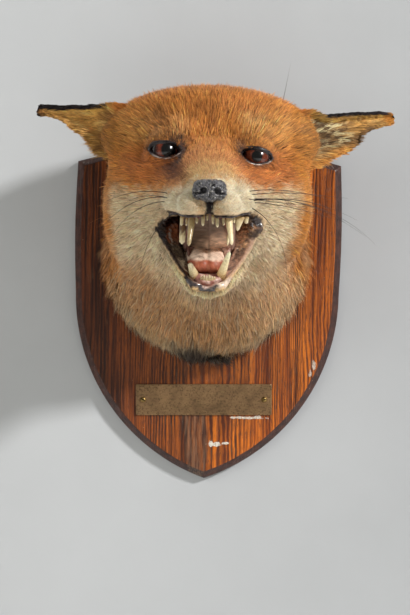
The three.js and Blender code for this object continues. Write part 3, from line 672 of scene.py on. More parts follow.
# ------------------------------------------------------------------ fur
class Fur:
    """Blades of fur grown from root points; each is a thin tapering ribbon that bends along the body."""

    def __init__(self, seed):
        self.r = np.random.default_rng(seed)
        self.parts = []

    def scatter(self, V, Q, density):
        """Root points on quads (as triangles), with density per square millimetre at each vertex."""
        T = np.concatenate([Q[:, [0, 1, 2]], Q[:, [0, 2, 3]]])
        a, b, c = V[T[:, 0]], V[T[:, 1]], V[T[:, 2]]
        area = np.linalg.norm(np.cross(b - a, c - a), axis=1) / 2
        want = area * density[T].mean(1)
        cnt = np.floor(want + self.r.random(len(T))).astype(int)
        i = np.repeat(np.arange(len(T)), cnt)
        u, v = self.r.random(len(i)), self.r.random(len(i))
        f = u + v > 1
        u[f], v[f] = 1 - u[f], 1 - v[f]
        return a[i] + (b[i] - a[i]) * u[:, None] + (c[i] - a[i]) * v[:, None]

    def curves(self, root, nrm, lie, length, rise0, rise1, segs, jitter, clump, cell, pull):
        """Centre points (n, segs + 1, 3): they leave the skin at rise0 and end near rise1, radians."""
        r = self.r
        n = len(root)
        lie = lie + r.normal(size=(n, 3)) * jitter
        lie -= (lie * nrm).sum(1)[:, None] * nrm
        lie /= np.linalg.norm(lie, axis=1)[:, None] + 1e-9
        k0 = rise0 + r.normal(size=n) * 0.10
        k1 = rise1 + r.normal(size=n) * 0.10
        P = [root]
        steps = 6
        cur = root.copy()
        marks = {int(round(steps * (j + 1) / segs)) for j in range(segs)}
        for s in range(steps):
            th = k0 + (k1 - k0) * (s + 0.5) / steps
            cur = cur + (lie * np.cos(th)[:, None] + nrm * np.sin(th)[:, None]) * (length / steps)[:, None]
            if s + 1 in marks:
                P.append(cur.copy())
        P = np.stack(P, 1)
        for cl, k in zip(cell, clump):
            if k <= 0:
                continue
            w = root + np.stack([waves(root, cl * 4, 31), waves(root, cl * 4, 32), waves(root, cl * 4, 33)], -1) * cl * 0.6
            key = np.floor(w / cl).astype(np.int64)
            key -= key.min(0)
            m = key.max(0) + 1
            flat = (key[:, 0] * m[1] + key[:, 1]) * m[2] + key[:, 2]
            _, inv, cnt = np.unique(flat, return_inverse=True, return_counts=True)
            tip = P[:, -1]
            mean = np.stack([np.bincount(inv, tip[:, a]) for a in range(3)], -1) / cnt[:, None]
            # each lock also leans its own way
            for j in range(1, segs + 1):
                t = (j / segs) ** pull
                P[:, j] += (mean[inv] - tip) * (k * t)
            self.lock = inv
        return P, lie

    def add(self, P, nrm, width, root_col, tip_col, twist=0.9, taper=(1.0, 1.0, 0.72), soft=0.78):
        """Turns centre lines into ribbons."""
        r = self.r
        n, m = P.shape[0], P.shape[1] - 1
        d = P[:, -1] - P[:, 0]
        d /= np.linalg.norm(d, axis=1)[:, None] + 1e-9
        side = np.cross(d, nrm)
        side /= np.linalg.norm(side, axis=1)[:, None] + 1e-9
        a = r.normal(size=n) * twist
        side = side * np.cos(a)[:, None] + np.cross(d, side) * np.sin(a)[:, None]
        face = np.cross(side, d)
        face *= np.sign((face * nrm).sum(1) + 1e-9)[:, None]
        sn = nrm * soft + face * (1 - soft) * 1.2
        sn /= np.linalg.norm(sn, axis=1)[:, None]
        k = 2 * m + 1
        VV = np.empty((n, k, 3))
        CC = np.empty((n, k, 3))
        for j in range(m):
            w = (width * taper[min(j, len(taper) - 1)] * 0.5)[:, None]
            VV[:, 2 * j] = P[:, j] - side * w
            VV[:, 2 * j + 1] = P[:, j] + side * w
            t = j / m
            cc = root_col + (tip_col - root_col) * t ** 0.8
            CC[:, 2 * j] = CC[:, 2 * j + 1] = cc
        VV[:, -1], CC[:, -1] = P[:, -1], tip_col
        NN = np.repeat(sn[:, None], k, 1)
        self.parts.append((VV, CC, NN, P[:, 0]))

    def mesh(self, name, mats, slot, uvof, limit=190000, keep=None, nodes=()):
        """Joins the blades into pieces of fewer than limit triangles, by place."""
        made = []
        for VV, CC, NN, root in self.parts:
            n, k = VV.shape[:2]
            m = (k - 1) // 2
            per = 2 * (m - 1) + 1
            chunks = max(1, math.ceil(n * per / limit))
            order = np.argsort(np.arctan2(root[:, 0], root[:, 2] - 45), kind="stable")
            for ci, idx in enumerate(np.array_split(order, chunks)):
                c = len(idx)
                base = (np.arange(c) * k)[:, None]
                quads = np.concatenate([base + np.array([2 * j, 2 * j + 1, 2 * j + 3, 2 * j + 2]) for j in range(m - 1)]) if m > 1 else np.zeros((0, 4), int)
                tris = base + np.array([k - 3, k - 2, k - 1])
                V = VV[idx].reshape(-1, 3)
                c0 = uvof(root[idx], idx)
                t = np.linspace(-0.5, 0.5, m + 1)
                off = np.zeros((k, 2))
                for j in range(m):
                    off[2 * j] = (-0.5, t[j])
                    off[2 * j + 1] = (0.5, t[j])
                off[-1] = (0, 0.5)
                uv = (c0[:, None] + off[None] * 0.003).reshape(-1, 2)
                o = build(f"{name}_{len(made)}", V, [quads, tris], mats, col=CC[idx].reshape(-1, 3),
                          uv=np.clip(uv, 0, 1), normals=NN[idx].reshape(-1, 3))
                piece(o, slot)
                made.append(o)
        return made


def lie_of_coat(p):
    """Which way the hair points: back from the nose, outward, and down a little on the neck."""
    x, y, z = p.T
    k = 0.020
    d = np.stack([x * k, np.ones(len(p)), (z - 60) * k - 0.25 * ramp(y, -90, -50)], -1)
    d[:, 1] *= 1 - 0.75 * ramp(y, -60, -14)
    # hair swirls a little from place to place, and runs out on to the ears
    d += np.stack([waves(p, 26, 81), 0 * x, waves(p, 26, 82)], -1) * 0.22 + np.stack([waves(p, 9, 83), 0 * x, waves(p, 9, 84)], -1) * 0.13
    ear = ramp(np.abs(x), 40, 56) * ramp(z, 78, 92) * ramp(y, -112, -92)
    d[:, 0] += np.sign(x) * ear * 1.1
    d[:, 1] -= ear * 0.5
    for e in EYES.values():
        ex, _, ez = e["c"]
        r = np.stack([(x - ex) * 0.8, np.zeros(len(p)), (z - ez) * 1.3], -1)
        rn = np.linalg.norm(r, axis=1)
        d += r / (rn[:, None] + 1e-6) * (ramp(17 - rn, 0, 8) * (y < -105) * 1.3)[:, None]
    return d


def coat_length(p):
    x, y, z = p.T
    L = np.interp(y, [-205, -192, -178, -158, -138, -118, -96, -75, -50, -20], [1.3, 2.1, 3.2, 5.4, 8.0, 9.8, 12, 14.5, 17.0, 18.0])
    L = L * (1 - 0.12 * ramp(z, 88, 104) * (y < -70))
    g = gape(p.astype(F))
    L = L * (0.42 + 0.58 * ramp(np.abs(g), 1, 10))
    for e in EYES.values():
        r = almond(e, x, z)
        L = L * (1 - (y < -112) * 0.76 * ramp(8 - r, 0, 7))
    return np.maximum(L, 0.9)


gn, _ = grad(closed_skin, V, 0.6)
al = np.minimum(almond(EYES["left"], V[:, 0], V[:, 2]), almond(EYES["right"], V[:, 0], V[:, 2]))
al = np.where(V[:, 1] < -112, al, 30.0)
nose_d = np.sqrt(((V - np.array([0, -197.5, 60.5])) ** 2 / np.array([10.2, 8.6, 7.2]) ** 2).sum(-1))
uV, hV = jaw_uh(V.astype(F))
lower = (V[:, 2] < 42) & (hV < 1.5)
rim = np.where(lower, np.where((V[:, 2] < 12) & (V[:, 1] < -163), 3.2, 1.5), 1.3)
hairy = (np.abs(cs) < 1.3) & (V[:, 1] < NECK_Y - 0.8) & (al > 1.0) & (g_cav > rim) & (nose_d > 1.0)
hairy &= duct(V) > 1.0
hairy &= ~((np.abs(V[:, 0] - 0.2) < 1.5 + 0.9 * ramp(49.5 - V[:, 2], 0, 3) + 0.8 * ramp(V[:, 2], 53, 56)) & (V[:, 1] < -186) & (V[:, 2] < 58))
hairy = hairy.astype(float)
t_neck = ramp(V[:, 1], -108, -84)
few = 1.0

fur = fur_material("coat")


def grow(seed, dens, segs, width, name, slot, uvof, clump, cell, jitter, twist=0.8):
    f = Fur(seed)
    root = f.scatter(V, Q, dens * few)
    n, d = grad(closed_skin, root, 0.6)
    root = root - np.clip(d, -0.6, 0.6)[:, None] * n - n * 0.25
    L = coat_length(root) * np.exp(f.r.normal(size=len(root)) * 0.16)
    # ragged at the back of the neck, where the coat ends in tufts
    L = L * np.exp(ramp(root[:, 1], -75, -30) * 0.22 * waves(root, 11, 95) + 0.06 * waves(root, 6, 96))
    L = L * (1 + 0.55 * tuft_at(root))
    dep = coat_depth(root.astype(F)) * 1.02
    mean = np.arcsin(np.clip(dep / L, 0.05, 0.72))
    stray = f.r.random(len(root)) < 0.05
    L = np.where(stray, L * 1.25, L)
    mean = mean * np.where(stray, 1.35, 1.0)
    P, lie = f.curves(root, n, lie_of_coat(root), L, mean * 1.6, mean * 0.42, segs, jitter, clump, cell, 1.6)
    fl = ramp(root[:, 1], -50, -22)[:, None, None] * np.linspace(0, 1, segs + 1)[None, :, None] ** 1.5
    P = P + n[:, None, :] * fl * (L * 0.16 + 1.2 * waves(root, 8, 97))[:, None, None]
    P[:, :, 1] = np.minimum(P[:, :, 1], NECK_Y - 0.2)
    lock = f.lock
    base = markings(root)
    tipc = markings(P[:, -1] * 0.4 + root * 0.6 + f.r.normal(size=root.shape) * 1.1)
    patch = np.exp(0.10 * waves(root, 12, 91) + 0.07 * waves(root, 5, 92) + 0.11 * waves(root, 2.4, 93) * ramp(root[:, 2], 66, 90))
    r = f.r
    own = np.exp(r.normal(size=len(root)) * 0.27)
    ofl = np.exp(r.normal(size=lock.max() + 1) * 0.12)[lock]
    warm = 1 + r.normal(size=(len(root), 3)) * np.array([0.03, 0.04, 0.07])
    b = own * ofl * patch
    y, z = root[:, 1], root[:, 2]
    rc = base * (b * 0.45)[:, None] * warm
    tc = tipc * (b * 1.22)[:, None] * warm
    # dark guard hairs through the rust, pale and dark bands on the neck
    lum = base @ np.array([0.3, 0.6, 0.1])
    u = r.random(len(root))
    dark = (u < 0.11 * ramp(z, 84, 104) + 0.035) & (y > -172)
    tc[dark] *= 0.35
    rc[dark] *= 0.6
    pale = (u > 0.86) & (z < 24) & (y > -110) & (tuft_at(root) < 0.3)
    tc[pale] = tc[pale] * 0.4 + lin((222, 206, 172)) * 0.6
    tuft = tuft_at(root)
    rufft = ramp(y, -62, -34) * ramp(22 - z, 0, 26) * (1 - tuft)
    tc += (lin((206, 190, 156)) - tc) * (rufft * 0.45 * (r.random(len(root)) < 0.6))[:, None]
    W = width * np.clip(L / 8, 0.55, 1.25) * np.exp(r.normal(size=len(root)) * 0.15) * 1.0
    f.add(P, n, W, np.clip(rc, 0.001, 1), np.clip(tc, 0.001, 1), twist=twist)
    return f.mesh(name, [fur], slot, uvof)


def skin_uv(root, _idx):
    return unwrap(root)


t_muz = ramp(-V[:, 1], 148, 160)
dens = {
    "muzzle": hairy * (1 - t_neck) * t_muz * 15.0,
    "face": hairy * (1 - t_neck) * (1 - t_muz) * 9.6,
    "neck": hairy * t_neck * 5.2,
}
qa = np.linalg.norm(np.cross(V[Q[:, 2]] - V[Q[:, 0]], V[Q[:, 3]] - V[Q[:, 1]]), axis=1) / 2
print("blades", {k_: int((qa * d_[Q].mean(1)).sum()) for k_, d_ in dens.items()})
grow(5, dens["face"], 2, 0.27, "coat_face", "fur_head", skin_uv, (0.2, 0.5), (5.0, 1.1), 0.19)
grow(7, dens["muzzle"], 2, 0.22, "coat_muzzle", "fur_head", skin_uv, (0.1, 0.4), (4.5, 0.9), 0.18)
grow(6, dens["neck"], 2, 0.38, "coat_neck", "fur_neck", skin_uv, (0.34, 0.55), (9.0, 1.7), 0.16)


# ------------------------------------------------------------------ ears
EAR = {
    "left": dict(root=(-44, -94, 105), tip=(-110.2, -62, 117.2), up=(13.5, 13.6, 11.4, 9.0, 6.8, 5.4), down=(21, 21.5, 22, 22, 22, 22, 21.6, 20.6, 18.4, 15.0, 12.2, 10.2, 9.4, 8.2, 6.2, 4.6, 3.6, 3.2, 3.2, 3.8, 4.6), bow=5, seed=1),
    "right": dict(root=(44, -94, 101.5), tip=(116.2, -62, 117.4), up=(15, 14.5, 9.8, 8.8, 7.0, 4.6), down=(22, 22.5, 23, 23, 23, 22.5, 22, 21.2, 20.5, 19.5, 18.3, 17, 16, 14.8, 9.0, 6.8, 6.0, 5.8, 5.6, 5.4, 5.2), bow=5, seed=2),
}


def tabled(tab, s):
    f = np.clip(s, 0, 1) * (len(tab) - 1)
    i = np.minimum(np.floor(f).astype(int), len(tab) - 2)
    t = f - i
    h = t * t * (3 - 2 * t)
    tab = np.array(tab, float)
    return tab[i] * (1 - h) + tab[i + 1] * h


def ear_frame(e):
    root, tip = np.array(e["root"], float), np.array(e["tip"], float)
    run = tip - root
    ac = np.array([0, -0.15, 1.0])
    ac -= run * (ac @ run) / (run @ run)
    ac /= np.linalg.norm(ac)
    out = np.cross(run, ac)
    out /= np.linalg.norm(out)
    if out[1] > 0:
        out = -out
    return root, run, ac, out


def ear_at(e, s, ang, thick=1.6):
    """A point of the ear: s runs to the tip, ang goes round the section (front 0 to pi, back pi to 2 pi)."""
    root, run, ac, out = ear_frame(e)
    rnd = np.where(s > 0.965, np.sqrt(np.clip(1 - ((s - 0.965) / 0.035) ** 2, 0, 1)), 1)
    c = np.cos(ang)
    rag = 1 + 0.05 * np.sin(s * 23 + e["seed"]) * ramp(s, 0.3, 0.6) + 0.03 * np.sin(s * 61)
    w = np.where(c > 0, c * (tabled(e["up"], s) - 0.8), c * (tabled(e["down"], s) - 1.0) * rag) * rnd
    th = thick * (0.55 + 0.45 * (1 - s)) * (0.25 + 0.75 * rnd)
    dep = e["bow"] * (1 - s) ** 0.8 * (1 - c * c) + 3.5 * np.sin(np.pi * s) * (1 - c * c)
    dep = dep + 1.1 * np.sin(c * 5.2 + s * 3 + e["seed"] * 2.1) * (1 - c * c) * ramp(s, 0.1, 0.4)
    o = -dep + np.sin(ang) * th / 2
    return root + run * s[:, None] + ac * w[:, None] + out * o[:, None]


def ear_colour(e, s, c, back):
    thr = 1 - (2.5 if e["seed"] == 2 else 3.9) / tabled(e["up"], s)
    p = np.stack([s * 60, c * 20, np.where(back, 40.0, 0.0)], -1)
    w1, w2 = waves(p, 12, 41 + e["seed"]), waves(p * [0.12, 1, 1], 2.0, 42 + e["seed"])
    right = e["seed"] == 2
    col = np.tile(lin((194, 144, 76)), (len(s), 1))
    # bright under the top edge, duller and browner below
    col = toward(col, (224, 170, 84), ramp(c, 0.1, 0.6) * (0.8 + 0.2 * w1))
    col = toward(col, (172, 126, 66), ramp(-c, -0.1, 0.6) * (0.7 + 0.3 * w1))
    col = toward(col, (226, 190, 124), ramp(w2 + 0.4 * w1, 0.2, 1.1) * 0.35)
    col = toward(col, (140, 96, 50), ramp(-w2 + 0.4 * w1, 0.4, 1.2) * 0.35)
    if right:
        # painted shade: dark brown in the crease at the ear's base, crossed by real pale strands
        shaded_crease = ramp(0.36 - np.abs(s - 0.32), 0, 0.2) * ramp(0.62 - np.abs(c + 0.14), 0, 0.3)
        col = toward(col, (64, 46, 30), shaded_crease * ramp(-w2 + 0.5 - 0.9 * s, -0.4, 0.5) * 0.9)
        col = toward(col, (222, 204, 158), shaded_crease * ramp(w2, 0.0, 0.6) * 0.85)
        # painted shadow: brown along the lower edge towards the tip
        col = toward(col, (104, 76, 50), ramp(-c, 0.35, 0.6) * ramp(s, 0.5, 0.62) * ramp(0.86 - s, 0, 0.1) * 0.8)
        col = toward(col, (206, 138, 62), ramp(-c, 0.62, 0.8) * ramp(0.62 - s, 0, 0.1) * 0.8)
        col = toward(col, (206, 138, 58), ramp(s, 0.88, 0.94))
    else:
        # painted shade: dark brown in the crease at the ear's base
        col = toward(col, (96, 60, 34), ramp(0.4 - s, 0, 0.16) * ramp(0.9 - np.abs(c + 0.1), 0, 0.4) * ramp(-w2 + 0.5, -0.3, 0.6) * 0.8)
        col = toward(col, (160, 84, 50), ramp(1 - np.hypot((s - 0.42) / 0.05, (c + 0.45) / 0.15), 0, 0.6) * 0.7)
        col = toward(col, (120, 76, 42), ramp(s, 0.86, 0.95) * 0.7)
    col = toward(col, (196, 116, 54), ramp(0.26 - s, 0, 0.16) * ramp(c, 0.0, 0.5) * 0.85)
    col = np.clip(col * (1.14 if right else 1.26), 0, 1)
    if right:
        band = ramp(c - thr, 0.0, 0.08) * ramp(s, 0.22, 0.34) * ramp(0.98 - s, 0, 0.05)
        band = np.maximum(band, ramp(s, 0.975, 0.99) * ramp(c, -0.2, 0.3))
    else:
        band = ramp(c - thr, -0.02, 0.08) * ramp(s, 0.18, 0.30)
        band = np.maximum(band, ramp(s, 0.965, 0.985) * 0.95)
        band = np.maximum(band, ramp(-c, 0.2, 0.5) * ramp(s, 0.93, 0.96))
    black = np.where(back, ramp(s, -0.02, 0.12), band)
    return toward(col, (40, 30, 32), black)


for side, e in EAR.items():
    ns, na = ((90, 64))
    S, A = np.meshgrid(np.linspace(0, 1, ns), np.arange(na) / na * 2 * np.pi, indexing="ij")
    s, a = S.ravel(), A.ravel()
    EV = ear_at(e, s, a)
    i = np.arange(ns * na).reshape(ns, na)
    j = np.roll(i, -1, 1)
    EQ = np.stack([i[:-1], i[1:], j[1:], j[:-1]], -1).reshape(-1, 4)
    if side == "right":
        EQ = EQ[:, ::-1]
    if side == "left":
        pass
    back = np.sin(a) < 0
    col = ear_colour(e, s, np.cos(a), back)
    o = build("ear_" + side + "_hide", EV, [EQ, i[:1][:, ::-1] if side == "left" else i[:1]], [bpy.data.materials["hide"]], col=col * 0.8)
    piece(o, "fur_ear", "ear_" + side)
    f = Fur(60 + e["seed"])
    r = f.r
    root0, run, ac, out = ear_frame(e)
    run_n = run / np.linalg.norm(run)
    for face, n_bl, L0, segs in ((0, 10500, 8.0, 3), (1, 6500, 2.6, 2)):
        n_bl = int(n_bl * few)
        s = r.uniform(0.05, 0.985, n_bl * 2)
        keepw = (tabled(e["up"], s) + tabled(e["down"], s)) / 42
        s = s[r.random(len(s)) < keepw][:n_bl]
        wv = r.uniform(-0.995, 0.995, len(s))
        a = np.arccos(wv) if face == 0 else 2 * np.pi - np.arccos(wv)
        root = ear_at(e, s, a)
        ds = ear_at(e, np.clip(s + 0.01, 0, 1), a) - ear_at(e, np.clip(s - 0.01, 0, 1), a)
        da = ear_at(e, s, a + 0.03) - ear_at(e, s, a - 0.03)
        nrm = np.cross(ds, da)
        nrm /= np.linalg.norm(nrm, axis=1)[:, None] + 1e-9
        want = out if face == 0 else -out
        nrm *= np.sign((nrm @ want))[:, None]
        root = root - nrm * 0.1
        c = np.cos(a)
        L = L0 * (1 - 0.45 * s) * np.exp(r.normal(size=len(s)) * 0.25)
        if face == 0:
            L = L * (0.7 + 0.4 * ramp(-c, 0.0, 0.6)) * (1 - 0.5 * ramp(s, 0.6, 1.0)) + 6 * ramp(0.5 - s, 0, 0.3)
            L = np.where(np.abs(c) > 0.85, L * 0.5, L)
            L = np.minimum(L, 1.2 + (1 - s) * 60)
        else:
            L = np.minimum(L, 1.0 + (1 - s) * 40)
        lie = run_n[None, :] * 1.0 + ac[None, :] * (np.where(c < 0, 0.55 * c, 0.25 * c) + 0.45 * ramp(0.5 - s, 0, 0.3) * (c > -0.6) + 0.12 * waves(root, 9, 47))[:, None]
        mean = np.full(len(s), 0.24 if face == 0 else 0.2)
        P, _ = f.curves(root, nrm, lie, L, mean * 1.7, mean * 0.3, segs, 0.13, (0.6,), (3.2,), 1.5)
        base = ear_colour(e, s, c, np.full(len(s), face == 1))
        b = np.exp(r.normal(size=len(s)) * 0.2) * np.exp(r.normal(size=f.lock.max() + 1) * 0.15)[f.lock]
        f.add(P, nrm, np.full(len(s), 0.30 if face == 0 else 0.4) * (1), base * (b * 0.6)[:, None], np.clip(base * (b * 1.2)[:, None], 0, 1))
        f.parts[-1] = f.parts[-1] + (np.stack([(0.04 if face == 0 else 0.54) + s * 0.42, 0.5 + 0.45 * c], -1),)
    for fi, part in enumerate(list(f.parts)):
        uvp = part[4]
        f2 = Fur(1)
        f2.parts = [part[:4]]
        f2.mesh(f"coat_ear_{side}_{'inner' if fi == 0 else 'outer'}", [fur], "fur_ear", lambda _r, i, u=uvp: u[i], limit=190000)


# ------------------------------------------------------------------ eyes
def y_on(f, x, z, y0=-215.0, y1=-60.0):
    """Where a line along +Y first meets the form."""
    y = np.full(len(x), y0)
    for _ in range(60):
        d = f(np.stack([x, y, z], -1).astype(F))
        y = np.minimum(y + np.maximum(d, 0) * 0.8, y1)
    return y


def sphere(n, m):
    """Unit sphere with its pole on -Y: vertices and quads."""
    t = np.linspace(0, np.pi, n + 1)
    a = np.arange(m) / m * 2 * np.pi
    T, A = np.meshgrid(t, a, indexing="ij")
    V = np.stack([np.sin(T) * np.cos(A), -np.cos(T), np.sin(T) * np.sin(A)], -1).reshape(-1, 3)
    i = np.arange((n + 1) * m).reshape(n + 1, m)
    j = np.roll(i, -1, 1)
    return V, np.stack([i[:-1], j[:-1], j[1:], i[1:]], -1).reshape(-1, 4)


def eye_material(name, warm, pupil):
    N = Nodes(name)
    v = N.n("ShaderNodeTexCoord").outputs["Object"]
    sep = N.n("ShaderNodeSeparateXYZ")
    N.put(sep.inputs[0], v)
    x, z = sep.outputs[0], sep.outputs[2]
    rad = N.math("POWER", N.math("ADD", N.math("MULTIPLY", x, x), N.math("MULTIPLY", N.math("MULTIPLY", z, z), 0.8)), 0.5)
    ang = N.math("ARCTAN2", z, x)
    fib = N.n("ShaderNodeCombineXYZ")
    N.put(fib.inputs[0], N.math("MULTIPLY", ang, 5.0))
    N.put(fib.inputs[1], N.math("MULTIPLY", rad, 260.0))
    fr = N.noise(fib.outputs[0], 2.2, 3)
    cl = N.noise(v, 240, 2)
    iris = N.mix(N.map(fr, 0.3, 0.7), hexlin(58, 18, 8), hexlin(*warm))
    iris = N.mix(N.map(cl, 0.5, 0.8), iris, hexlin(128, 60, 34))
    iris = N.mix(N.map(rad, 0.0060, 0.0078), iris, hexlin(24, 13, 10))
    col = N.mix(N.map(N.math("ADD", rad, N.math("MULTIPLY", fr, 0.0004)), pupil, pupil + 0.0008), hexlin(6, 5, 5), iris)
    return N.out(Base_Color=col, Roughness=N.map(N.noise(v, 700, 3), 0.3, 0.7, 0.05, 0.12), Specular_IOR_Level=0.6,
                 Coat_Weight=0.55, Coat_Roughness=0.19, Normal=N.bump(N.noise(v, 420, 2), 0.06, 0.0002))


def paint_material(name, c0, c1, rough=(0.22, 0.45), bump=0.5, scale=900):
    N = Nodes(name)
    v = N.coords()
    n1 = N.noise(v, scale, 4)
    n2 = N.noise(v, scale * 0.25, 3)
    col = N.mix(N.map(N.math("ADD", N.math("MULTIPLY", n1, 0.5), N.math("MULTIPLY", n2, 0.5)), 0.4, 0.62), c0, c1)
    return N.out(Base_Color=col, Roughness=N.map(n2, 0.3, 0.7, *rough), Specular_IOR_Level=0.5, Coat_Weight=0.3,
                 Coat_Roughness=0.2, Normal=N.bump(n1, bump, 0.0004))


def lid_material():
    N = Nodes("lid_paint")
    v = N.coords()
    n1, n2 = N.noise(v, 900, 4), N.noise(v, 260, 3)
    col = N.mix(1.0, N.attr("Col"), N.mix(N.map(N.math("ADD", N.math("MULTIPLY", n1, 0.5), N.math("MULTIPLY", n2, 0.5)), 0.4, 0.62), (0.6, 0.6, 0.6, 1), (1.5, 1.45, 1.45, 1)), "MULTIPLY")
    return N.out(Base_Color=col, Roughness=N.map(n2, 0.3, 0.7, 0.2, 0.45), Specular_IOR_Level=0.5, Coat_Weight=0.3,
                 Coat_Roughness=0.2, Normal=N.bump(n1, 0.5, 0.0004))


lid_mat = lid_material()
for side, e in EYES.items():
    c = np.array(e["c"], float)
    SV, SQ = sphere(40, 64)
    g = np.array(e["gaze"], float)
    g /= np.linalg.norm(g)
    rot = Vector((0, -1, 0)).rotation_difference(Vector(g))
    o = build("eye_" + side + "_ball", SV * EYE_R, [SQ], [eye_material("eye_glass_" + side, (124, 54, 34) if side == "left" else (132, 60, 34), e["pupil"])])
    o.location = Vector(c) * MM
    o.rotation_mode = "QUATERNION"
    o.rotation_quaternion = rot
    piece(o, "eye_glass", "eye_" + side)

    # the rim of the lids: a band lofted round the opening, from the ball out to the skin
    n = 120
    t = np.arange(n) / n * 2 * np.pi
    X = e["a"] * np.sign(np.cos(t)) * np.abs(np.cos(t)) ** 0.9
    ss = np.clip(1 - (X / e["a"]) ** 2, 0, 1)
    Z = np.where(np.sin(t) > 0, e["up"] * ss ** e["pu"], -e["lo"] * ss ** 0.7)
    nx, nz = np.cos(t) * 0.8, np.sin(t)
    nl = np.hypot(nx, nz)
    nx, nz = nx / nl, nz / nl
    rows = []
    ta = math.radians(e["turn"])
    for off, kind, up in ((-0.8, 0, -0.3), (-0.3, 0, 0.25), (0.05, 0, 0.6), (0.35, 1, 0.6), (0.7, 2, 0.4), (1.1, 3, 0.15), (1.8, 3, -0.6)):
        wig = 0.16 * np.sin(t * 7 + off * 3) + 0.1 * np.sin(t * 17 + 1)
        off = off * np.where(np.sin(t) > 0, 1.3 if side == "left" else 1.8, 0.9) if off > 0 else off
        x2, z2 = X + nx * (off + wig * (kind > 0)), Z + nz * (off + wig * (kind > 0))
        xw = x2 * math.cos(ta) - z2 * math.sin(ta) + c[0] + e["mid"]
        zw = x2 * math.sin(ta) + z2 * math.cos(ta) + c[2]
        q = np.hypot(xw - c[0], zw - c[2])
        yb = c[1] - np.sqrt(np.maximum((EYE_R + 0.05) ** 2 - q ** 2, 16.0))
        ys = y_on(closed_skin, xw, zw)
        yb = np.minimum(yb, ys + 7)
        f = (0.0, 0.45, 0.85, 1.0)[kind]
        rows.append(np.stack([xw, yb * (1 - f) + ys * f - up, zw], -1))
    R = np.stack(rows)
    m = len(rows)
    i = np.arange(m * n).reshape(m, n)
    j = np.roll(i, -1, 1)
    LQ = np.stack([i[:-1], j[:-1], j[1:], i[1:]], -1).reshape(-1, 4)
    if side == "right" or side == "left":
        LQ = LQ[:, ::-1]
    lc_ = np.tile(lin((34, 26, 27)), (m * n, 1))
    tt, kk_ = np.tile(t, m), np.repeat(np.arange(m), n)
    # painted reflection: a pale wet-looking rim along the lower lid
    lid_reflection = ramp(-np.sin(tt), 0.1, 0.6) * ((kk_ >= 3) & (kk_ <= 5))
    if side == "right":
        lid_reflection = lid_reflection * ramp(np.cos(tt), -0.7, -0.2)
    else:
        lid_reflection = lid_reflection * ramp(np.cos(tt), -0.9, -0.3) * 0.8
    lc_ = toward(lc_, (196, 178, 164), lid_reflection * (0.8 + 0.3 * np.sin(tt * 13)))
    o = build("lid_" + side, R.reshape(-1, 3), [LQ], [lid_mat], col=lc_)
    piece(o, "nose_paint")


# ------------------------------------------------------------------ nose
def nose_form(p):
    m = mirrored(p)
    d = ell(p, (0, -197.2, 61.8), (9.4, 7.4, 5.8), 8)
    d = smin(d, ell(m, (4.5, -198.0, 64.6), (4.6, 5.6, 2.8)), 2)
    d = smin(d, ell(p, (0, -198.0, 58.4), (4.8, 5.4, 3.4)), 3)
    d = smin(d, ell(m, (6.3, -198.8, 60.2), (3.6, 4.4, 4.4)), 1.5)
    d = d + 0.13 * np.sin(p[:, 0] * 4.4 + 1) * np.sin(p[:, 2] * 4.1) * np.sin(p[:, 1] * 3.7)
    d = d + 0.22 * np.sin(p[:, 0] * 1.9 + 2) * np.sin(p[:, 2] * 2.3 + 1)
    d = smax(d, -ell(p, (-3.6, -204.4, 61.0), (1.9, 4.4, 1.9)), 0.6)
    d = smax(d, -ell(p, (4.4, -204.2, 60.8), (2.2, 4.4, 1.7)), 0.6)
    d = smax(d, -ell(m, (7.2, -202.4, 59.4), (2.6, 2.4, 0.7)), 0.6)
    return smax(d, -ell(p, (0.1, -206.0, 56.5), (0.7, 3.0, 6.0)), 0.8)


NV, NQ = net(nose_form, (-11.5, -206.5, 50.5), (11.5, -188, 69), 0.5, project=3)
N = Nodes("nose_skin")
v = N.coords()
vor = N.n("ShaderNodeTexVoronoi", i_Scale=950.0, feature="DISTANCE_TO_EDGE")
N.put(vor.inputs["Vector"], v)
n1 = N.noise(v, 420, 5, 0.65)
n2 = N.noise(v, 900, 4, 0.6)
ncol = N.mix(N.map(n1, 0.4, 0.6), hexlin(22, 20, 24), hexlin(104, 102, 108))
ncol = N.mix(N.map(n2, 0.52, 0.66), ncol, hexlin(184, 180, 172))
ncol = N.mix(N.map(vor.outputs["Distance"], 0.0, 0.12), hexlin(14, 14, 18), ncol)
nose_mat = N.out(Base_Color=ncol, Roughness=N.map(n1, 0.3, 0.7, 0.22, 0.42), Specular_IOR_Level=0.55, Coat_Weight=0.35, Coat_Roughness=0.18,
                 Normal=N.bump(N.math("ADD", N.math("MULTIPLY", N.map(vor.outputs["Distance"], 0, 0.2), 0.7), n1), 0.7, 0.0005))
piece(build("nose_pad", NV, [NQ], [nose_mat]), "nose_paint", "nose")


# ------------------------------------------------------------------ teeth, gums and tongue
def tooth(base, tip, rx, ry, bend=0.0, rings=9, n=14, blunt=0.12):
    b, t = np.array(base, float), np.array(tip, float)
    run = t - b
    L = np.linalg.norm(run)
    d = run / L
    sx = np.array([1, 0, 0]) - d * d[0]
    sx /= np.linalg.norm(sx)
    sy = np.cross(d, sx)
    s = np.linspace(0, 1, rings)
    w = (1 - s * (1 - blunt)) ** 0.85 * np.sqrt(np.clip(1 - (np.clip(s - 0.9, 0, 1) / 0.1) ** 2, 0, 1))
    a = np.arange(n) / n * 2 * np.pi
    V = []
    for si, wi in zip(s, w):
        o = b + d * (si * L) + sy * bend * math.sin(math.pi * si * 0.5) * si
        V.append(o + (sx[None, :] * rx * np.cos(a)[:, None] + sy[None, :] * ry * np.sin(a)[:, None]) * max(wi, 0.02))
    V = np.concatenate(V)
    i = np.arange(rings * n).reshape(rings, n)
    j = np.roll(i, -1, 1)
    Qd = np.stack([i[:-1], j[:-1], j[1:], i[1:]], -1).reshape(-1, 4)
    hs = np.repeat(s, n)
    return V, Qd, hs


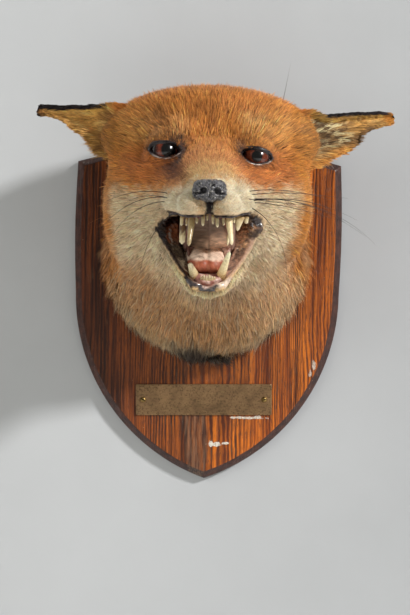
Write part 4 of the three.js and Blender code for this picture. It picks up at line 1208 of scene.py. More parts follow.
def join(parts):
    """[(V, Q, colour, material)] joined into one set of arrays."""
    Vs, Qs, Cs, Ms, k = [], [], [], [], 0
    for V_, Q_, C_, m_ in parts:
        Vs.append(V_)
        Qs.append(Q_ + k)
        Cs.append(C_)
        Ms.append(np.full(len(Q_), m_))
        k += len(V_)
    return np.concatenate(Vs), np.concatenate(Qs), np.concatenate(Cs), np.concatenate(Ms)


def ivory(hs, seed, n):
    r = np.random.default_rng(seed)
    k = r.uniform(0.86, 1.06)
    c = np.tile(lin((226, 208, 166)) * k, (n, 1))
    c = toward(c, (168, 128, 72), ramp(0.42 - hs, 0, 0.4) * 0.75)
    return toward(c, (236, 226, 198), ramp(hs, 0.5, 1.0) * 0.5)


def palate_z(p):
    """The roof of the mouth falls towards the throat."""
    x, y = p[:, 0], p[:, 1]
    base = 46.6 - 0.335 * (y + 184)
    w = 12.0
    t = np.clip(np.abs(x - 0.4) / w, 0, 1)
    arch = 2.4 * ramp(-y, 140, 172) * (1 - t ** 2) - 2.6 * ramp(y, -152, -132) * (1 - t)
    ridge = -0.5 * np.exp(-((x - 0.4) / 0.8) ** 2)
    rug = 0.09 * np.sin((y + 0.35 * np.abs(x)) * 2 * np.pi / 5.6) * (t > 0.06)
    return base + arch + ridge + rug


def upper_gum_form(p):
    x, y, z = p.T
    w = np.interp(y, [-190, -186, -181, -170, -150, -128], [3.5, 6.5, 9.8, 12.6, 15.0, 16.0]).astype(F)
    ax = np.abs(x - 0.3)
    ridge = 2.2 * np.exp(-((ax - (w - 1.9)) / 1.9) ** 2)
    bot = palate_z(p).astype(F) - ridge - 0.35 * np.sin(y * 1.15) * np.exp(-((ax - w + 1.5) / 2) ** 2)
    d = smax((bot - z) * 0.9, ax - w, 2.6)
    d = smax(d, -186.6 - y + 0.05 * ax ** 2, 1.5)
    d = smax(d, z - 53.5, 0.5)
    return smax(d, y + 127, 1)


def gum_colour(p):
    w1, w2 = waves(p, 6, 51), waves(p, 2.2, 52)
    # painted shadow: the palate is darker towards its front, under the upper lip
    c = toward(np.tile(lin((172, 142, 118)), (len(p), 1)), (242, 214, 188), ramp(p[:, 1], -166, -142))
    ax = np.abs(p[:, 0] - 0.3)
    w = np.interp(p[:, 1], [-190, -186, -181, -170, -150, -128], [3.5, 6.5, 9.8, 12.6, 15.0, 16.0])
    c = toward(c, (196, 178, 160), ramp(w2 + w1, 0.0, 1.2) * 0.5)
    c = toward(c, (150, 112, 100), ramp(p[:, 0], 2, 9) * ramp(-p[:, 1], 150, 170) * 0.6)
    # painted shadow: darker again towards the front and the left
    c = toward(c, (50, 34, 24), ramp(-p[:, 1] - 1.4 * p[:, 0] + 3 * w1, 136, 160) * 0.93)
    c = toward(c, (96, 78, 72), np.exp(-((p[:, 0] - 0.4) / 0.6) ** 2) * 0.6)
    # painted shade: a dark line along the back edge of the palate
    c = toward(c, (70, 54, 46), ramp(p[:, 1], -134, -129))
    c = toward(c, (124, 60, 48), ramp(ax - w, -4.2, -2.0) * 0.8 * ramp(-p[:, 1], 150, 162))
    c = toward(c, (146, 112, 102), ramp(ax - w, -5.0, -2.0) * 0.8 * ramp(p[:, 1], -158, -148))
    c = toward(c, (84, 34, 28), ramp(-p[:, 1], 178, 185) * ramp(w1, -0.6, 0.8) * 0.9)
    return np.clip(c, 0.002, 1)


hg = 0.62
GV, GQ = net(upper_gum_form, (-18.5, -189.5, 26), (18.5, -126, 55), hg, project=3)
parts = [(GV, GQ, gum_colour(GV), 0)]
k = 0
for x_, y_, r_, d_ in ((-6.9, -183.4, 1.05, 42.8), (-3.4, -186.0, 1.15, 41.4), (-0.9, -186.6, 0.65, 44.6), (4.8, -185.2, 1.2, 40.8), (2.3, -186.4, 0.9, 42.6), (8.3, -183.0, 1.0, 42.0)):
    Vt, Qt, hs = tooth((x_ * 0.97, y_ + 1.4, 48.0), (x_ * 1.02, y_ - 0.5, d_), r_, 0.85, 0.2, blunt=0.6)
    parts.append((Vt, Qt, ivory(hs, 70 + k, len(Vt)), 1))
    k += 1
# painted shade and light: the left upper canine is made darker and the right one lighter
for x0, x1, z1 in ((-9.4, -11.4, 29.8), (11.0, 13.4, 30.8)):
    Vt, Qt, hs = tooth((x0, -178.0, 49.5), (x1, -184.6, z1), 2.45, 2.9, 0.5, rings=14, n=18, blunt=0.36)
    parts.append((Vt, Qt, ivory(hs, 80 + k, len(Vt)) * (lin((200, 190, 174)) if x0 < 0 else 1.2), 1))
    k += 1
CHEEK_TEETH = (
    # base, tip, half widths, bluntness
    ((-15.0, -167.5, 42.4), (-15.4, -169.0, 31.4), 2.1, 2.6, 0.72),
    ((-12.6, -174.5, 46.5), (-13.0, -175.2, 41.8), 0.95, 0.9, 0.5),
    ((-15.4, -170.5, 47.5), (-16.0, -171.5, 42.0), 1.35, 1.3, 0.55),
    ((-15.6, -156.0, 42.0), (-16.2, -156.6, 36.0), 1.7, 3.2, 0.5),
    ((17.6, -168.5, 48.0), (16.6, -170.0, 39.6), 3.3, 2.2, 0.12),
    ((21.6, -164.5, 48.0), (21.8, -165.5, 44.2), 1.8, 1.5, 0.5),
    ((14.4, -172.0, 48.5), (14.6, -173.2, 44.0), 1.1, 1.2, 0.4),
    ((11.6, -169.0, 37.0), (11.1, -171.0, 31.2), 1.1, 1.3, 0.3),
)
for b_, t_, rx_, ry_, bl_ in CHEEK_TEETH:
    Vt, Qt, hs = tooth(b_, t_, rx_, ry_, 0, rings=9, blunt=bl_)
    ic = ivory(hs, 90 + k, len(Vt))
    if b_[0] < -14 and b_[2] < 43:
        ic = toward(ic, (84, 54, 38), ramp(0.52 + 0.1 * np.sin(np.arange(len(hs)) * 2.1) - hs, 0, 0.12) * 0.9)
    parts.append((Vt, Qt, ic, 1))
    k += 1


def gum_material(name="gum", gloss=(0.28, 0.5), coat=0.25):
    N = Nodes(name)
    v = N.coords()
    n1 = N.noise(v, 500, 4)
    n2 = N.noise(v, 1700, 2)
    col = N.mix(1.0, N.attr("Col"), N.mix(N.map(n1, 0.3, 0.7), (0.7, 0.66, 0.64, 1), (1.25, 1.2, 1.18, 1)), "MULTIPLY")
    return N.out(Base_Color=col, Roughness=N.map(n1, 0.3, 0.7, *gloss), Specular_IOR_Level=0.45, Coat_Weight=coat, Coat_Roughness=0.2,
                 Normal=N.bump(N.math("ADD", n1, N.math("MULTIPLY", n2, 0.3)), 0.4, 0.0004))


def ivory_material():
    N = Nodes("ivory")
    v = N.coords(scale=(1, 1, 0.25))
    n1 = N.noise(v, 1500, 4)
    n2 = N.noise(N.coords(), 350, 3)
    crack = N.map(N.noise(v, 900, 2, 0.5, 0.6), 0.485, 0.5)
    col = N.mix(1.0, N.attr("Col"), N.mix(N.map(n1, 0.3, 0.7), (0.82, 0.79, 0.72, 1), (1.1, 1.08, 1.04, 1)), "MULTIPLY")
    col = N.mix(N.map(n2, 0.6, 0.72), col, hexlin(150, 112, 62))
    return N.out(Base_Color=col, Roughness=N.map(n1, 0.3, 0.7, 0.2, 0.36), Specular_IOR_Level=0.5, Coat_Weight=0.3, Coat_Roughness=0.1,
                 Normal=N.bump(N.math("ADD", n1, N.math("MULTIPLY", crack, 0.3)), 0.3, 0.0002))


gum_mat, ivory_mat = gum_material(), ivory_material()
pv, pq, pc, pm = join(parts)
piece(build("upper_jaw_teeth", pv, [pq], [gum_mat, ivory_mat], pm, col=pc), "teeth", "upper_gum_teeth")


def tongue_form(p):
    q = mirrored(p + np.array([1.0, 0, 0], F))
    d = smin(cone(q, (6.8, -128.0, 26.6), (4.2, -155.0, 19.6), 6.6, 4.4, 1.15), cone(p, (-1.0, -128.0, 26.0), (-1.0, -155.5, 19.8), 6.0, 4.2, 1.4), 5)
    groove = 0.7 * np.exp(-((p[:, 0] + 0.4) / 1.5) ** 2) * ramp(-p[:, 1], 130, 150)
    notch = 0.9 * np.exp(-((p[:, 0] + 0.2) / 3.0) ** 2) * ramp(p[:, 1], -152, -134)
    papil = 0.10 * np.sin(p[:, 0] * 5.1) * np.sin(p[:, 1] * 4.3 + 1) * np.sin(p[:, 2] * 4.7)
    return d + groove + notch + papil


TV, TQ = net(tongue_form, (-18, -164, 12), (17, -118, 37), hg, project=3)
w1, w2 = waves(TV, 6, 61), waves(TV, 2, 62)
tc = np.tile(lin((160, 86, 60)), (len(TV), 1))
tc = toward(tc, (190, 124, 94), ramp(w1 + w2, 0, 1.4) * 0.5)
tc = toward(tc, (246, 220, 196), ramp(TV[:, 2] + 0.5 * w1 + 0.25 * w2 - 0.06 * np.abs(TV[:, 0]), 21.4, 23.2) * 0.95)
# painted shadow: darker along the underside of the tongue
tc = toward(tc, (104, 44, 36), ramp(17.6 - TV[:, 2], 0, 3) * 0.8)
piece(build("tongue_body", TV, [TQ], [gum_material("tongue_skin", (0.44, 0.62), 0.05)], col=tc), "tongue_paint", "tongue")


def lower_gum_form(p):
    u, h = jaw_uh(p)
    x = p[:, 0] - 0.2
    w = np.interp(u, [0, 12, 26, 36, 42, 46], [13.6, 13.2, 11.8, 9.6, 7.6, 4.5]).astype(F)
    ax = np.abs(x)
    top = -3.0 - 4.5 * np.exp(-(np.maximum(w - 2.4 - ax, 0) * 0 + (ax / (w - 1.5)) ** 6) ) * ramp(38 - u, 0, 5)
    top = top + 0.35 * np.sin(u * 1.2) * np.exp(-((ax - w + 1.6) / 2) ** 2)
    d = smax((h - top) * 0.9, ax - w, 2.2)
    d = smax(d, u - 44.2 + 0.05 * ax ** 2, 2.0)
    d = smax(d, -h - 13, 1)
    d = smax(d, -2 - u, 1)
    return smax(d, -(tongue_form(p) - 0.35), 0.6)


LV, LQ = net(lower_gum_form, (-16, -178, -4), (16, -126, 46), hg, project=3)
w1, w2 = waves(LV, 5, 63), waves(LV, 1.8, 64)
lc = np.tile(lin((164, 118, 106)), (len(LV), 1))
lc = toward(lc, (226, 196, 182), ramp(w1 + w2 + 0.12 * LV[:, 0], -0.3, 0.8) * 0.8)
lc = toward(lc, (120, 58, 48), ramp(-w1 + 0.5 * w2, 0.1, 1.0) * 0.6)
lc = toward(lc, (74, 52, 46), ramp(-LV[:, 0], 5, 10) * 0.6)
parts = [(LV, LQ, np.clip(lc, 0.002, 1), 0)]
for i in (-2.5, -1.5, -0.5, 0.5, 1.5, 2.5):
    a = i * 0.22
    q = lambda kk, h: jaw_point(7.0 * math.sin(a) * kk + 0.1, 37.4 + 5.2 * math.cos(a), h)
    hgt = (-0.8, 0.9, 0.3, 1.5, -0.2, -1.0)[int(i + 2.5)]
    Vt, Qt, hs = tooth(q(1, -4.4), q(1.05, hgt), 1.1, 0.9, 0, blunt=0.3)
    parts.append((Vt, Qt, ivory(hs, 110 + k, len(Vt)), 1))
    k += 1
# painted light: the right lower canine is made much lighter than the left
for s, hh, bx, tx, ut in ((-1, 5.0, 7.8, 10.6, 38.4), (1, 15.8, 7.6, 12.4, 39.0)):
    Vt, Qt, hs = tooth(jaw_point(s * bx, 37.4, -4.8), jaw_point(s * tx, ut, hh), 2.9, 3.0, 0.6, rings=14, n=18, blunt=0.42 if s < 0 else 0.26)
    parts.append((Vt, Qt, np.clip(ivory(hs, 120 + k, len(Vt)) * (1.08 if s < 0 else 1.42), 0, 1), 1))
    k += 1
pv, pq, pc, pm = join(parts)
piece(build("lower_jaw_teeth", pv, [pq], [gum_mat, ivory_mat], pm, col=pc), "teeth", "lower_gum_teeth")


# ------------------------------------------------------------------ the dark margin of the upper lip
xs = np.linspace(-25.5, 25.5, 120)
z0, z1 = np.full(len(xs), 55.0), np.interp(np.abs(xs), [0, 20, 26], [43.0, 43.0, 38.0])
for _ in range(18):
    zm = (z0 + z1) / 2
    ym = y_on(closed_skin, xs, zm)
    out_ = cavity(np.stack([xs, ym, zm], -1).astype(F)) > 0.25
    z0, z1 = np.where(out_, zm, z0), np.where(out_, z1, zm)
zl = (z0 + z1) / 2
yl = y_on(closed_skin, xs, zl)
k5 = np.ones(5) / 5
yl[2:-2], zl[2:-2] = np.convolve(yl, k5, "valid"), np.convolve(zl, k5, "valid")
q3 = np.stack([xs, yl, zl], -1)
rl = 0.62 + 0.26 * waves(q3, 6, 85) + 0.2 * waves(q3, 2.2, 86) + 0.45 * np.exp(-((xs - 0.3) / 4.0) ** 2)
rl = rl * np.clip((26.0 - np.abs(xs)) / 3.0, 0.15, 1)
a = np.arange(10) / 10 * 2 * np.pi
dq = np.gradient(q3, axis=0)
dq /= np.linalg.norm(dq, axis=1)[:, None]
u1 = np.cross(dq, [0, 0, 1.0])
u1 /= np.linalg.norm(u1, axis=1)[:, None]
u2 = np.cross(dq, u1)
MV = (q3 + [0, -0.15, -0.25])[:, None] + (u1[:, None] * np.cos(a)[None, :, None] + u2[:, None] * np.sin(a)[None, :, None]) * rl[:, None, None]
i = np.arange(len(xs) * 10).reshape(len(xs), 10)
j = np.roll(i, -1, 1)
mc = np.tile(lin((40, 27, 28)), (MV.size // 3, 1))
mc = toward(mc, (92, 62, 62), ramp(waves(MV.reshape(-1, 3), 2.5, 87), 0.2, 1.0) * 0.7)
piece(build("lip_margin", MV.reshape(-1, 3), [np.stack([i[:-1], j[:-1], j[1:], i[1:]], -1).reshape(-1, 4)], [lid_mat], col=mc), "nose_paint")


# ------------------------------------------------------------------ whiskers
def whisker(P, r0, sides=4):
    """A tapering hair along smooth control points."""
    P = np.array(P, float)
    n = 18
    t = np.linspace(0, 1, n)
    deg = len(P) - 1
    B = np.stack([math.comb(deg, i) * t ** i * (1 - t) ** (deg - i) for i in range(deg + 1)], -1)
    C = B @ P
    T = np.gradient(C, axis=0)
    T /= np.linalg.norm(T, axis=1)[:, None]
    U = np.cross(T, np.array([0, 0.3, 1.0]))
    U /= np.linalg.norm(U, axis=1)[:, None]
    W = np.cross(T, U)
    a = np.arange(sides) / sides * 2 * np.pi
    r = r0 * (1 - 0.86 * t)
    V = (C[:, None] + (U[:, None] * np.cos(a)[None, :, None] + W[:, None] * np.sin(a)[None, :, None]) * r[:, None, None]).reshape(-1, 3)
    i = np.arange(n * sides).reshape(n, sides)
    j = np.roll(i, -1, 1)
    return V, np.stack([i[:-1], j[:-1], j[1:], i[1:]], -1).reshape(-1, 4)


WH = [  # each hair: points from its root to its tip
    [(21, -172, 62.5), (40, -172, 66), (58, -160, 63), (74, -140, 60)],
    [(22, -170, 60.5), (42, -172, 64), (60, -165, 62), (82, -150, 61)],
    [(23, -168, 58.5), (45, -172, 60), (66, -162, 57), (86, -140, 48), (101, -120, 35)],
    [(22, -169, 57), (44, -172, 61), (64, -166, 59), (88, -148, 48)],
    [(23, -168, 57.5), (44, -173, 62), (68, -164, 55), (94, -136, 39)],
    [(24, -166, 56.5), (40, -172, 57), (62, -165, 51), (80, -150, 47)],
    [(22, -168, 54.5), (34, -176, 50), (46, -170, 34), (46, -160, 14)],
    [(18, -176, 58), (30, -180, 58), (46, -176, 55), (60, -168, 56)],
    [(-22, -169, 58), (-38, -176, 61), (-56, -168, 52), (-68, -150, 34)],
    [(-21, -171, 60), (-36, -177, 64), (-52, -172, 60), (-62, -160, 55)],
    [(-23, -167, 56), (-36, -174, 57), (-50, -168, 48), (-58, -152, 34)],
    [(-24, -166, 47), (-32, -170, 40), (-38, -166, 28), (-40, -156, 14)],
    [(-20, -173, 57), (-30, -178, 60), (-42, -176, 60), (-50, -166, 54)],
    [(44, -88, 121), (46, -92, 131), (47.5, -92, 140), (49, -90, 148)],
]
parts, k = [], 0
for w in WH:
    Vw, Qw = whisker(w, 0.27 if k < 13 else 0.16)
    parts.append((Vw, Qw, np.tile(lin((30, 24, 22)), (len(Vw), 1)), 0))
    k += 1
wv, wq, wc, wm = join(parts)
Nw = Nodes("whisker")
wn = Nw.noise(Nw.coords(), 500, 2)
wmat = Nw.out(Base_Color=Nw.mix(wn, hexlin(14, 11, 10), hexlin(58, 46, 40)), Roughness=0.4, Specular_IOR_Level=0.4)
piece(build("whiskers", wv, [wq], [wmat], wm, uv=unwrap(wv)), "fur_head")


# ------------------------------------------------------------------ the shield
def shield_outline(step=1.6):
    W, Zt, Zp, Zb, Zs, sl = 87.0, 90.3, 120.8, -117.8, 4.0, 0.26
    c = (Zp - Zt - sl * W) / (W * W)
    R = (W * W + (Zb - Zs) ** 2) / (2 * W)
    cx = W - R
    at = math.atan2(Zb - Zs, -cx)
    pts = []
    n = int(R * abs(at) / step)
    for i in range(n):
        a = at * (1 - i / n)
        pts.append((cx + R * math.cos(a), Zs + R * math.sin(a)))
    n = int((Zt - Zs) / step)
    for i in range(n):
        pts.append((W + 1.2 * math.sin(math.pi * i / n), Zs + (Zt - Zs) * i / n))
    n = int(W / step)
    for i in range(n + 1):
        x = W * (1 - i / n)
        d = W - x
        pts.append((x, Zt + sl * d + c * d * d))
    right = np.array(pts)
    left = right[1:-1][::-1] * [-1, 1]
    return np.concatenate([right, left])


O = shield_outline(1.6)
nO = len(O)
tan = np.roll(O, -1, 0) - np.roll(O, 1, 0)
nor = np.stack([tan[:, 1], -tan[:, 0]], -1)
nor /= np.linalg.norm(nor, axis=1)[:, None]
seg = np.linalg.norm(np.roll(O, -1, 0) - O, axis=1)
arc = np.concatenate([[0], np.cumsum(seg)[:-1]])
total = seg.sum()
edge_t = tan / np.linalg.norm(tan, axis=1)[:, None]
prev_t, next_t = O - np.roll(O, 1, 0), np.roll(O, -1, 0) - O
prev_t /= np.linalg.norm(prev_t, axis=1)[:, None]
next_t /= np.linalg.norm(next_t, axis=1)[:, None]
turn = np.arccos(np.clip((prev_t * next_t).sum(1), -1, 1))
corners = np.where(turn > 0.35)[0]


def inset_by(d):
    """The outline moved in by d, with sharp corners kept sharp."""
    q = O - nor * d
    for ci in corners:
        k = math.tan(turn[ci] / 2)
        a = (arc - arc[ci] + total / 2) % total - total / 2
        near = (np.abs(a) > 1e-6) & (np.abs(a) < 4 * d + 2)
        sh = d * k * np.clip(1 - np.abs(a) / (4 * d + 2), 0, 1) * np.sign(a)
        q[near] += (edge_t * sh[:, None])[near]
        q[ci] = O[ci] - nor[ci] * d / math.cos(turn[ci] / 2)
    return q


for ci in corners:                        # beside a corner the normal is that of its own edge
    for o_, t_ in ((1, next_t), (-1, prev_t)):
        j_ = (ci + o_) % nO
        edge_t[j_] = t_[ci]
        nor[j_] = (t_[ci][1], -t_[ci][0])
rows, kinds = [], []
T = BOARD
for inset, y in ((0.4, 0.0), (0.0, -0.5), (0.0, -4.5), (0.12, -4.95), (0.7, -5.7), (1.6, -6.6), (2.5, -7.5), (3.4, -8.4), (3.85, -T + 0.2), (4.15, -T + 0.02), (4.6, -T)):
    q = inset_by(inset)
    dent = 0.3 * waves(np.stack([q[:, 0], q[:, 1], np.full(nO, y * 3)], -1), 14, 71) * (0.3 < inset < 3.9)
    rows.append(np.stack([q[:, 0] - nor[:, 0] * dent * 0.6, np.full(nO, y) + np.abs(dent) * 0.5 * (inset > 0.5), q[:, 1] - nor[:, 1] * dent * 0.6], -1))
    kinds.append(1.0 if inset < 3.9 else (0.8 if inset < 4.3 else 0.2))
base = inset_by(4.6)
rings = 56
for kk in range(1, rings):
    s = 1 - kk / rings
    q = base * s
    rows.append(np.stack([q[:, 0], np.full(nO, -T), q[:, 1]], -1))
    kinds.append(0.12 if kk == 1 else 0.0)
SV = np.concatenate(rows)
rimv = np.repeat(np.array(kinds), nO)
i = np.arange(len(rows) * nO).reshape(len(rows), nO)
j = np.roll(i, -1, 1)
SQ = np.stack([i[:-1], i[1:], j[1:], j[:-1]], -1).reshape(-1, 4)
top = len(SV)
SV = np.concatenate([SV, [[0, -T, 0]]])
rimv = np.append(rimv, 0)
fan = np.stack([i[-1], np.full(nO, top), j[-1]], -1)
cap = i[0][None, :]
rim_n = waves(SV, 9, 72)
m_rim = np.clip(rimv + (rimv > 0) * 0.15 * rim_n, 0, 1)
sx_, sz_ = SV[:, 0], SV[:, 2]
wob = waves(SV * [1, 0, 0.25], 7, 73)
wob2 = waves(SV * [1, 0, 0.6], 2.6, 74)
m_dirt_and_shadow = ramp(1.0 - np.abs(sx_ + 6.5 + 0.06 * (sz_ + 90) + 1.5 * wob) / (8.5 + 0.05 * (sz_ + 90)), 0, 0.35) * ramp(-74 - sz_, 0, 3)
# painted shadow: a dark patch on the board just under the neck
m_dirt_and_shadow = np.maximum(m_dirt_and_shadow, 0.45 * ramp(1.2 - np.sqrt(((sx_ - 2) / 26) ** 2 + ((sz_ + 46) / 9) ** 2) + 0.5 * wob + 0.4 * wob2, 0, 0.6))
m_dirt_and_shadow = np.maximum(m_dirt_and_shadow, 0.55 * ramp(wob + wob2 * 0.6, 0.9, 1.5) * ramp(sz_, -110, -40))
edge_up = np.concatenate([np.tile(nor[:, 1], len(rows)), [0.0]])
# painted reflection: pale patches along the upward-facing bevel
m_top_reflection = np.where(rimv > 0.7, 0.36 * ramp(edge_up, 0.5, 0.9), 0)
scol = np.stack([m_rim, m_dirt_and_shadow, m_top_reflection], -1)


def oak_material():
    N = Nodes("oak")
    sepa = N.n("ShaderNodeSeparateColor")
    N.put(sepa.inputs[0], N.attr("Col"))
    rimf, dirt_and_shadow, top_reflection = sepa.outputs[0], sepa.outputs[1], sepa.outputs[2]
    tc = N.n("ShaderNodeTexCoord")
    sep = N.n("ShaderNodeSeparateXYZ")
    N.put(sep.inputs[0], tc.outputs["Object"])

    def along(k, sway=0.0):
        c_ = N.n("ShaderNodeCombineXYZ")
        N.put(c_.inputs[0], N.math("ADD", sep.outputs[0], N.math("MULTIPLY", N.noise(N.coords(scale=(1, 1, 0.5)), 22, 2), sway)) if sway else sep.outputs[0])
        N.put(c_.inputs[1], N.math("MULTIPLY", sep.outputs[1], 0.8))
        N.put(c_.inputs[2], N.math("MULTIPLY", sep.outputs[2], k))
        return c_.outputs[0]

    v = along(0.035, 0.006)
    broad = N.noise(v, 75, 3)
    mid = N.noise(v, 330, 3, 0.6)
    fine = N.noise(v, 1150, 3, 0.65)
    pore = N.map(N.noise(along(0.11), 1500, 2, 0.6), 0.56, 0.66)
    # growth rings: bright bands with dark seams, wide in the middle of the board and narrow towards its sides
    off = N.math("ABSOLUTE", N.math("SUBTRACT", sep.outputs[0], 0.008))
    pitch = N.map(off, 0.0, 0.055, 1350.0, 2900.0)
    bend = N.math("MULTIPLY", N.math("SUBTRACT", N.noise(along(0.28), 26, 3, 0.55), 0.5), 30.0)
    waver = N.math("MULTIPLY", N.math("SUBTRACT", N.noise(along(0.2), 260, 3, 0.65), 0.5), 8.0)
    ring = N.math("SINE", N.math("ADD", N.math("MULTIPLY", sep.outputs[0], pitch), N.math("ADD", bend, waver)))
    ring = N.math("MULTIPLY", ring, N.map(N.noise(along(0.25), 70, 3), 0.38, 0.6, 0.25, 1.0))
    ring = N.math("ADD", ring, N.math("MULTIPLY", N.math("SUBTRACT", mid, 0.5), 5.0))
    col = N.mix(N.map(ring, -0.8, 0.9), hexlin(86, 38, 14), hexlin(198, 108, 26))
    seam = N.map(ring, -0.45, -1.15)
    col = N.mix(N.math("MULTIPLY", seam, 0.75), col, hexlin(52, 24, 14))
    col = N.mix(N.math("MULTIPLY", N.map(broad, 0.42, 0.7), 0.45), col, hexlin(128, 54, 20))
    col = N.mix(N.math("MULTIPLY", N.map(fine, 0.46, 0.68), 0.55), col, hexlin(70, 30, 16))
    col = N.mix(N.math("MULTIPLY", pore, 0.6), col, hexlin(40, 20, 14))
    grey = N.math("MULTIPLY", N.math("MULTIPLY", seam, N.map(N.noise(along(0.3), 140, 3), 0.54, 0.7)), N.map(sep.outputs[2], -0.02, -0.05))
    col = N.mix(N.math("MULTIPLY", grey, 0.5), col, hexlin(122, 108, 92))
    dull = N.map(N.noise(along(0.5), 28, 3), 0.5, 0.72)
    col = N.mix(N.math("MULTIPLY", dull, 0.55), col, hexlin(74, 38, 24))
    # darker towards the left: partly the wood's own stain, partly painted shade
    left = N.map(N.math("ADD", sep.outputs[0], N.math("MULTIPLY", sep.outputs[2], 0.2)), -0.016, -0.085)
    col = N.mix(N.math("MULTIPLY", left, 0.72), col, N.mix(N.map(mid, 0.4, 0.6), hexlin(46, 18, 10), hexlin(104, 44, 20)))
    grime = N.map(N.noise(N.coords(), 60, 5, 0.65), 0.5, 0.75)
    col = N.mix(N.math("MULTIPLY", grime, 0.35), col, hexlin(70, 34, 18))
    # painted shade and light across the board, darker on the left and brighter on the right, partly the wood's own
    # stain
    shade_and_stain_ramp = N.map(N.math("ADD", sep.outputs[0], N.math("MULTIPLY", N.math("SUBTRACT", mid, 0.5), 0.06)), -0.085, 0.07)
    col = N.mix(1.0, col, N.mix(shade_and_stain_ramp, (0.52, 0.49, 0.44, 1), (1.3, 1.28, 1.14, 1)), "MULTIPLY")
    col = N.mix(1.0, col, N.mix(N.map(sep.outputs[2], -0.068, -0.095), (1, 1, 1, 1), (1.3, 1.27, 1.12, 1)), "MULTIPLY")
    rimc = N.mix(N.map(N.noise(N.coords(), 240, 4), 0.4, 0.65), hexlin(52, 26, 20), hexlin(80, 44, 32))
    col = N.mix(N.map(N.math("ADD", rimf, N.math("MULTIPLY", N.math("SUBTRACT", N.noise(N.coords(), 700, 3), 0.5), 0.5)), 0.35, 0.7), col, rimc)
    # dirt, and under the neck a painted shadow
    dn = N.map(N.math("MULTIPLY", dirt_and_shadow, N.math("ADD", N.noise(along(0.12), 520, 4, 0.65), 0.4)), 0.3, 0.85)
    col = N.mix(N.math("MULTIPLY", dn, 0.66), col, N.mix(N.map(N.noise(along(0.08), 900, 3), 0.4, 0.62), hexlin(44, 30, 24), hexlin(120, 92, 70)))
    # real pale chips, and the painted reflection along the upper bevel
    chips_and_reflection = N.map(N.math("ADD", top_reflection, N.math("MULTIPLY", N.math("SUBTRACT", N.noise(N.coords(), 520, 4, 0.6), 0.5), 1.1)), 0.5, 0.6)
    ragged = N.math("MULTIPLY", N.math("SUBTRACT", N.noise(N.coords(scale=(1, 1, 0.7)), 420, 4, 0.65), 0.5), 2.6)
    for cx, cz, rx, rz, k in ((0.0068, -0.0952, 0.0044, 0.0014, 1.0), (0.0045, -0.0946, 0.0017, 0.0019, 1.0), (0.0142, -0.0943, 0.0022, 0.0008, 1.0),
                              (0.0275, -0.0772, 0.0105, 0.0008, 0.85), (0.0350, -0.0768, 0.0030, 0.0011, 0.9), (0.0712, -0.0425, 0.0013, 0.0034, 0.7), (0.0690, -0.0470, 0.0009, 0.0022, 0.6)):
        dx = N.math("DIVIDE", N.math("SUBTRACT", sep.outputs[0], cx), rx)
        dz = N.math("DIVIDE", N.math("SUBTRACT", sep.outputs[2], cz), rz)
        far = N.math("SQRT", N.math("ADD", N.math("MULTIPLY", dx, dx), N.math("MULTIPLY", dz, dz)))
        on = N.map(N.math("SUBTRACT", N.math("ADD", 1.15, ragged), far), 0.0, 0.3)
        on = N.math("MULTIPLY", on, N.map(sep.outputs[1], -0.0075, -0.0085))
        chips_and_reflection = N.math("MAXIMUM", chips_and_reflection, N.math("MULTIPLY", on, k))
    col = N.mix(chips_and_reflection, col, N.mix(N.map(N.noise(N.coords(), 900, 2), 0.4, 0.6), hexlin(196, 184, 166), hexlin(232, 226, 216)))
    spk = N.map(N.noise(N.coords(), 900, 2), 0.74, 0.78)
    col = N.mix(N.math("MULTIPLY", spk, 0.6), col, hexlin(214, 190, 160))
    hgt = N.math("SUBTRACT", N.math("ADD", N.math("MULTIPLY", fine, 0.5), N.math("MULTIPLY", N.map(ring, -1.0, 1.0), 0.5)), N.math("MULTIPLY", pore, 0.6))
    hgt = N.math("ADD", hgt, N.math("MULTIPLY", chips_and_reflection, 0.8))
    rough = N.math("ADD", N.map(mid, 0.3, 0.7, 0.3, 0.46), N.math("MULTIPLY", N.math("ADD", chips_and_reflection, pore), 0.2), clamp=True)
    return N.out(Base_Color=col, Roughness=rough, Specular_IOR_Level=0.45, Coat_Weight=0.25, Coat_Roughness=0.28,
                 Normal=N.bump(hgt, 0.5, 0.0006))


oak = oak_material()
piece(build("oak_shield", SV, [SQ, fan, cap], [oak], col=scol), "oak", "shield")


# ------------------------------------------------------------------ brass plate and screws
def brass_material(name, c0, c1, c2, rough=(0.28, 0.5)):
    N = Nodes(name)
    v = N.coords()
    n1 = N.noise(v, 120, 5, 0.6)
    n2 = N.noise(v, 900, 4, 0.6)
    brush = N.noise(N.coords(scale=(0.06, 1, 1)), 2200, 3)
    col = N.mix(N.map(n1, 0.35, 0.65), c0, c1)
    col = N.mix(N.map(n2, 0.5, 0.72), col, c2)
    col = N.mix(N.math("MULTIPLY", N.map(brush, 0.5, 0.7), 0.25), col, hexlin(196, 168, 112))
    return N.out(Base_Color=col, Metallic=N.map(n1, 0.3, 0.7, 0.95, 0.72), Roughness=N.math("ADD", N.map(n2, 0.3, 0.7, *rough), N.math("MULTIPLY", brush, 0.08)),
                 Normal=N.bump(N.math("ADD", brush, n2), 0.25, 0.0002))


brass = brass_material("brass_tarnished", hexlin(176, 140, 102), hexlin(126, 98, 70), hexlin(84, 64, 46))
screw_brass = brass_material("brass_screw", hexlin(176, 146, 88), hexlin(130, 106, 62), hexlin(84, 66, 40), (0.25, 0.42))


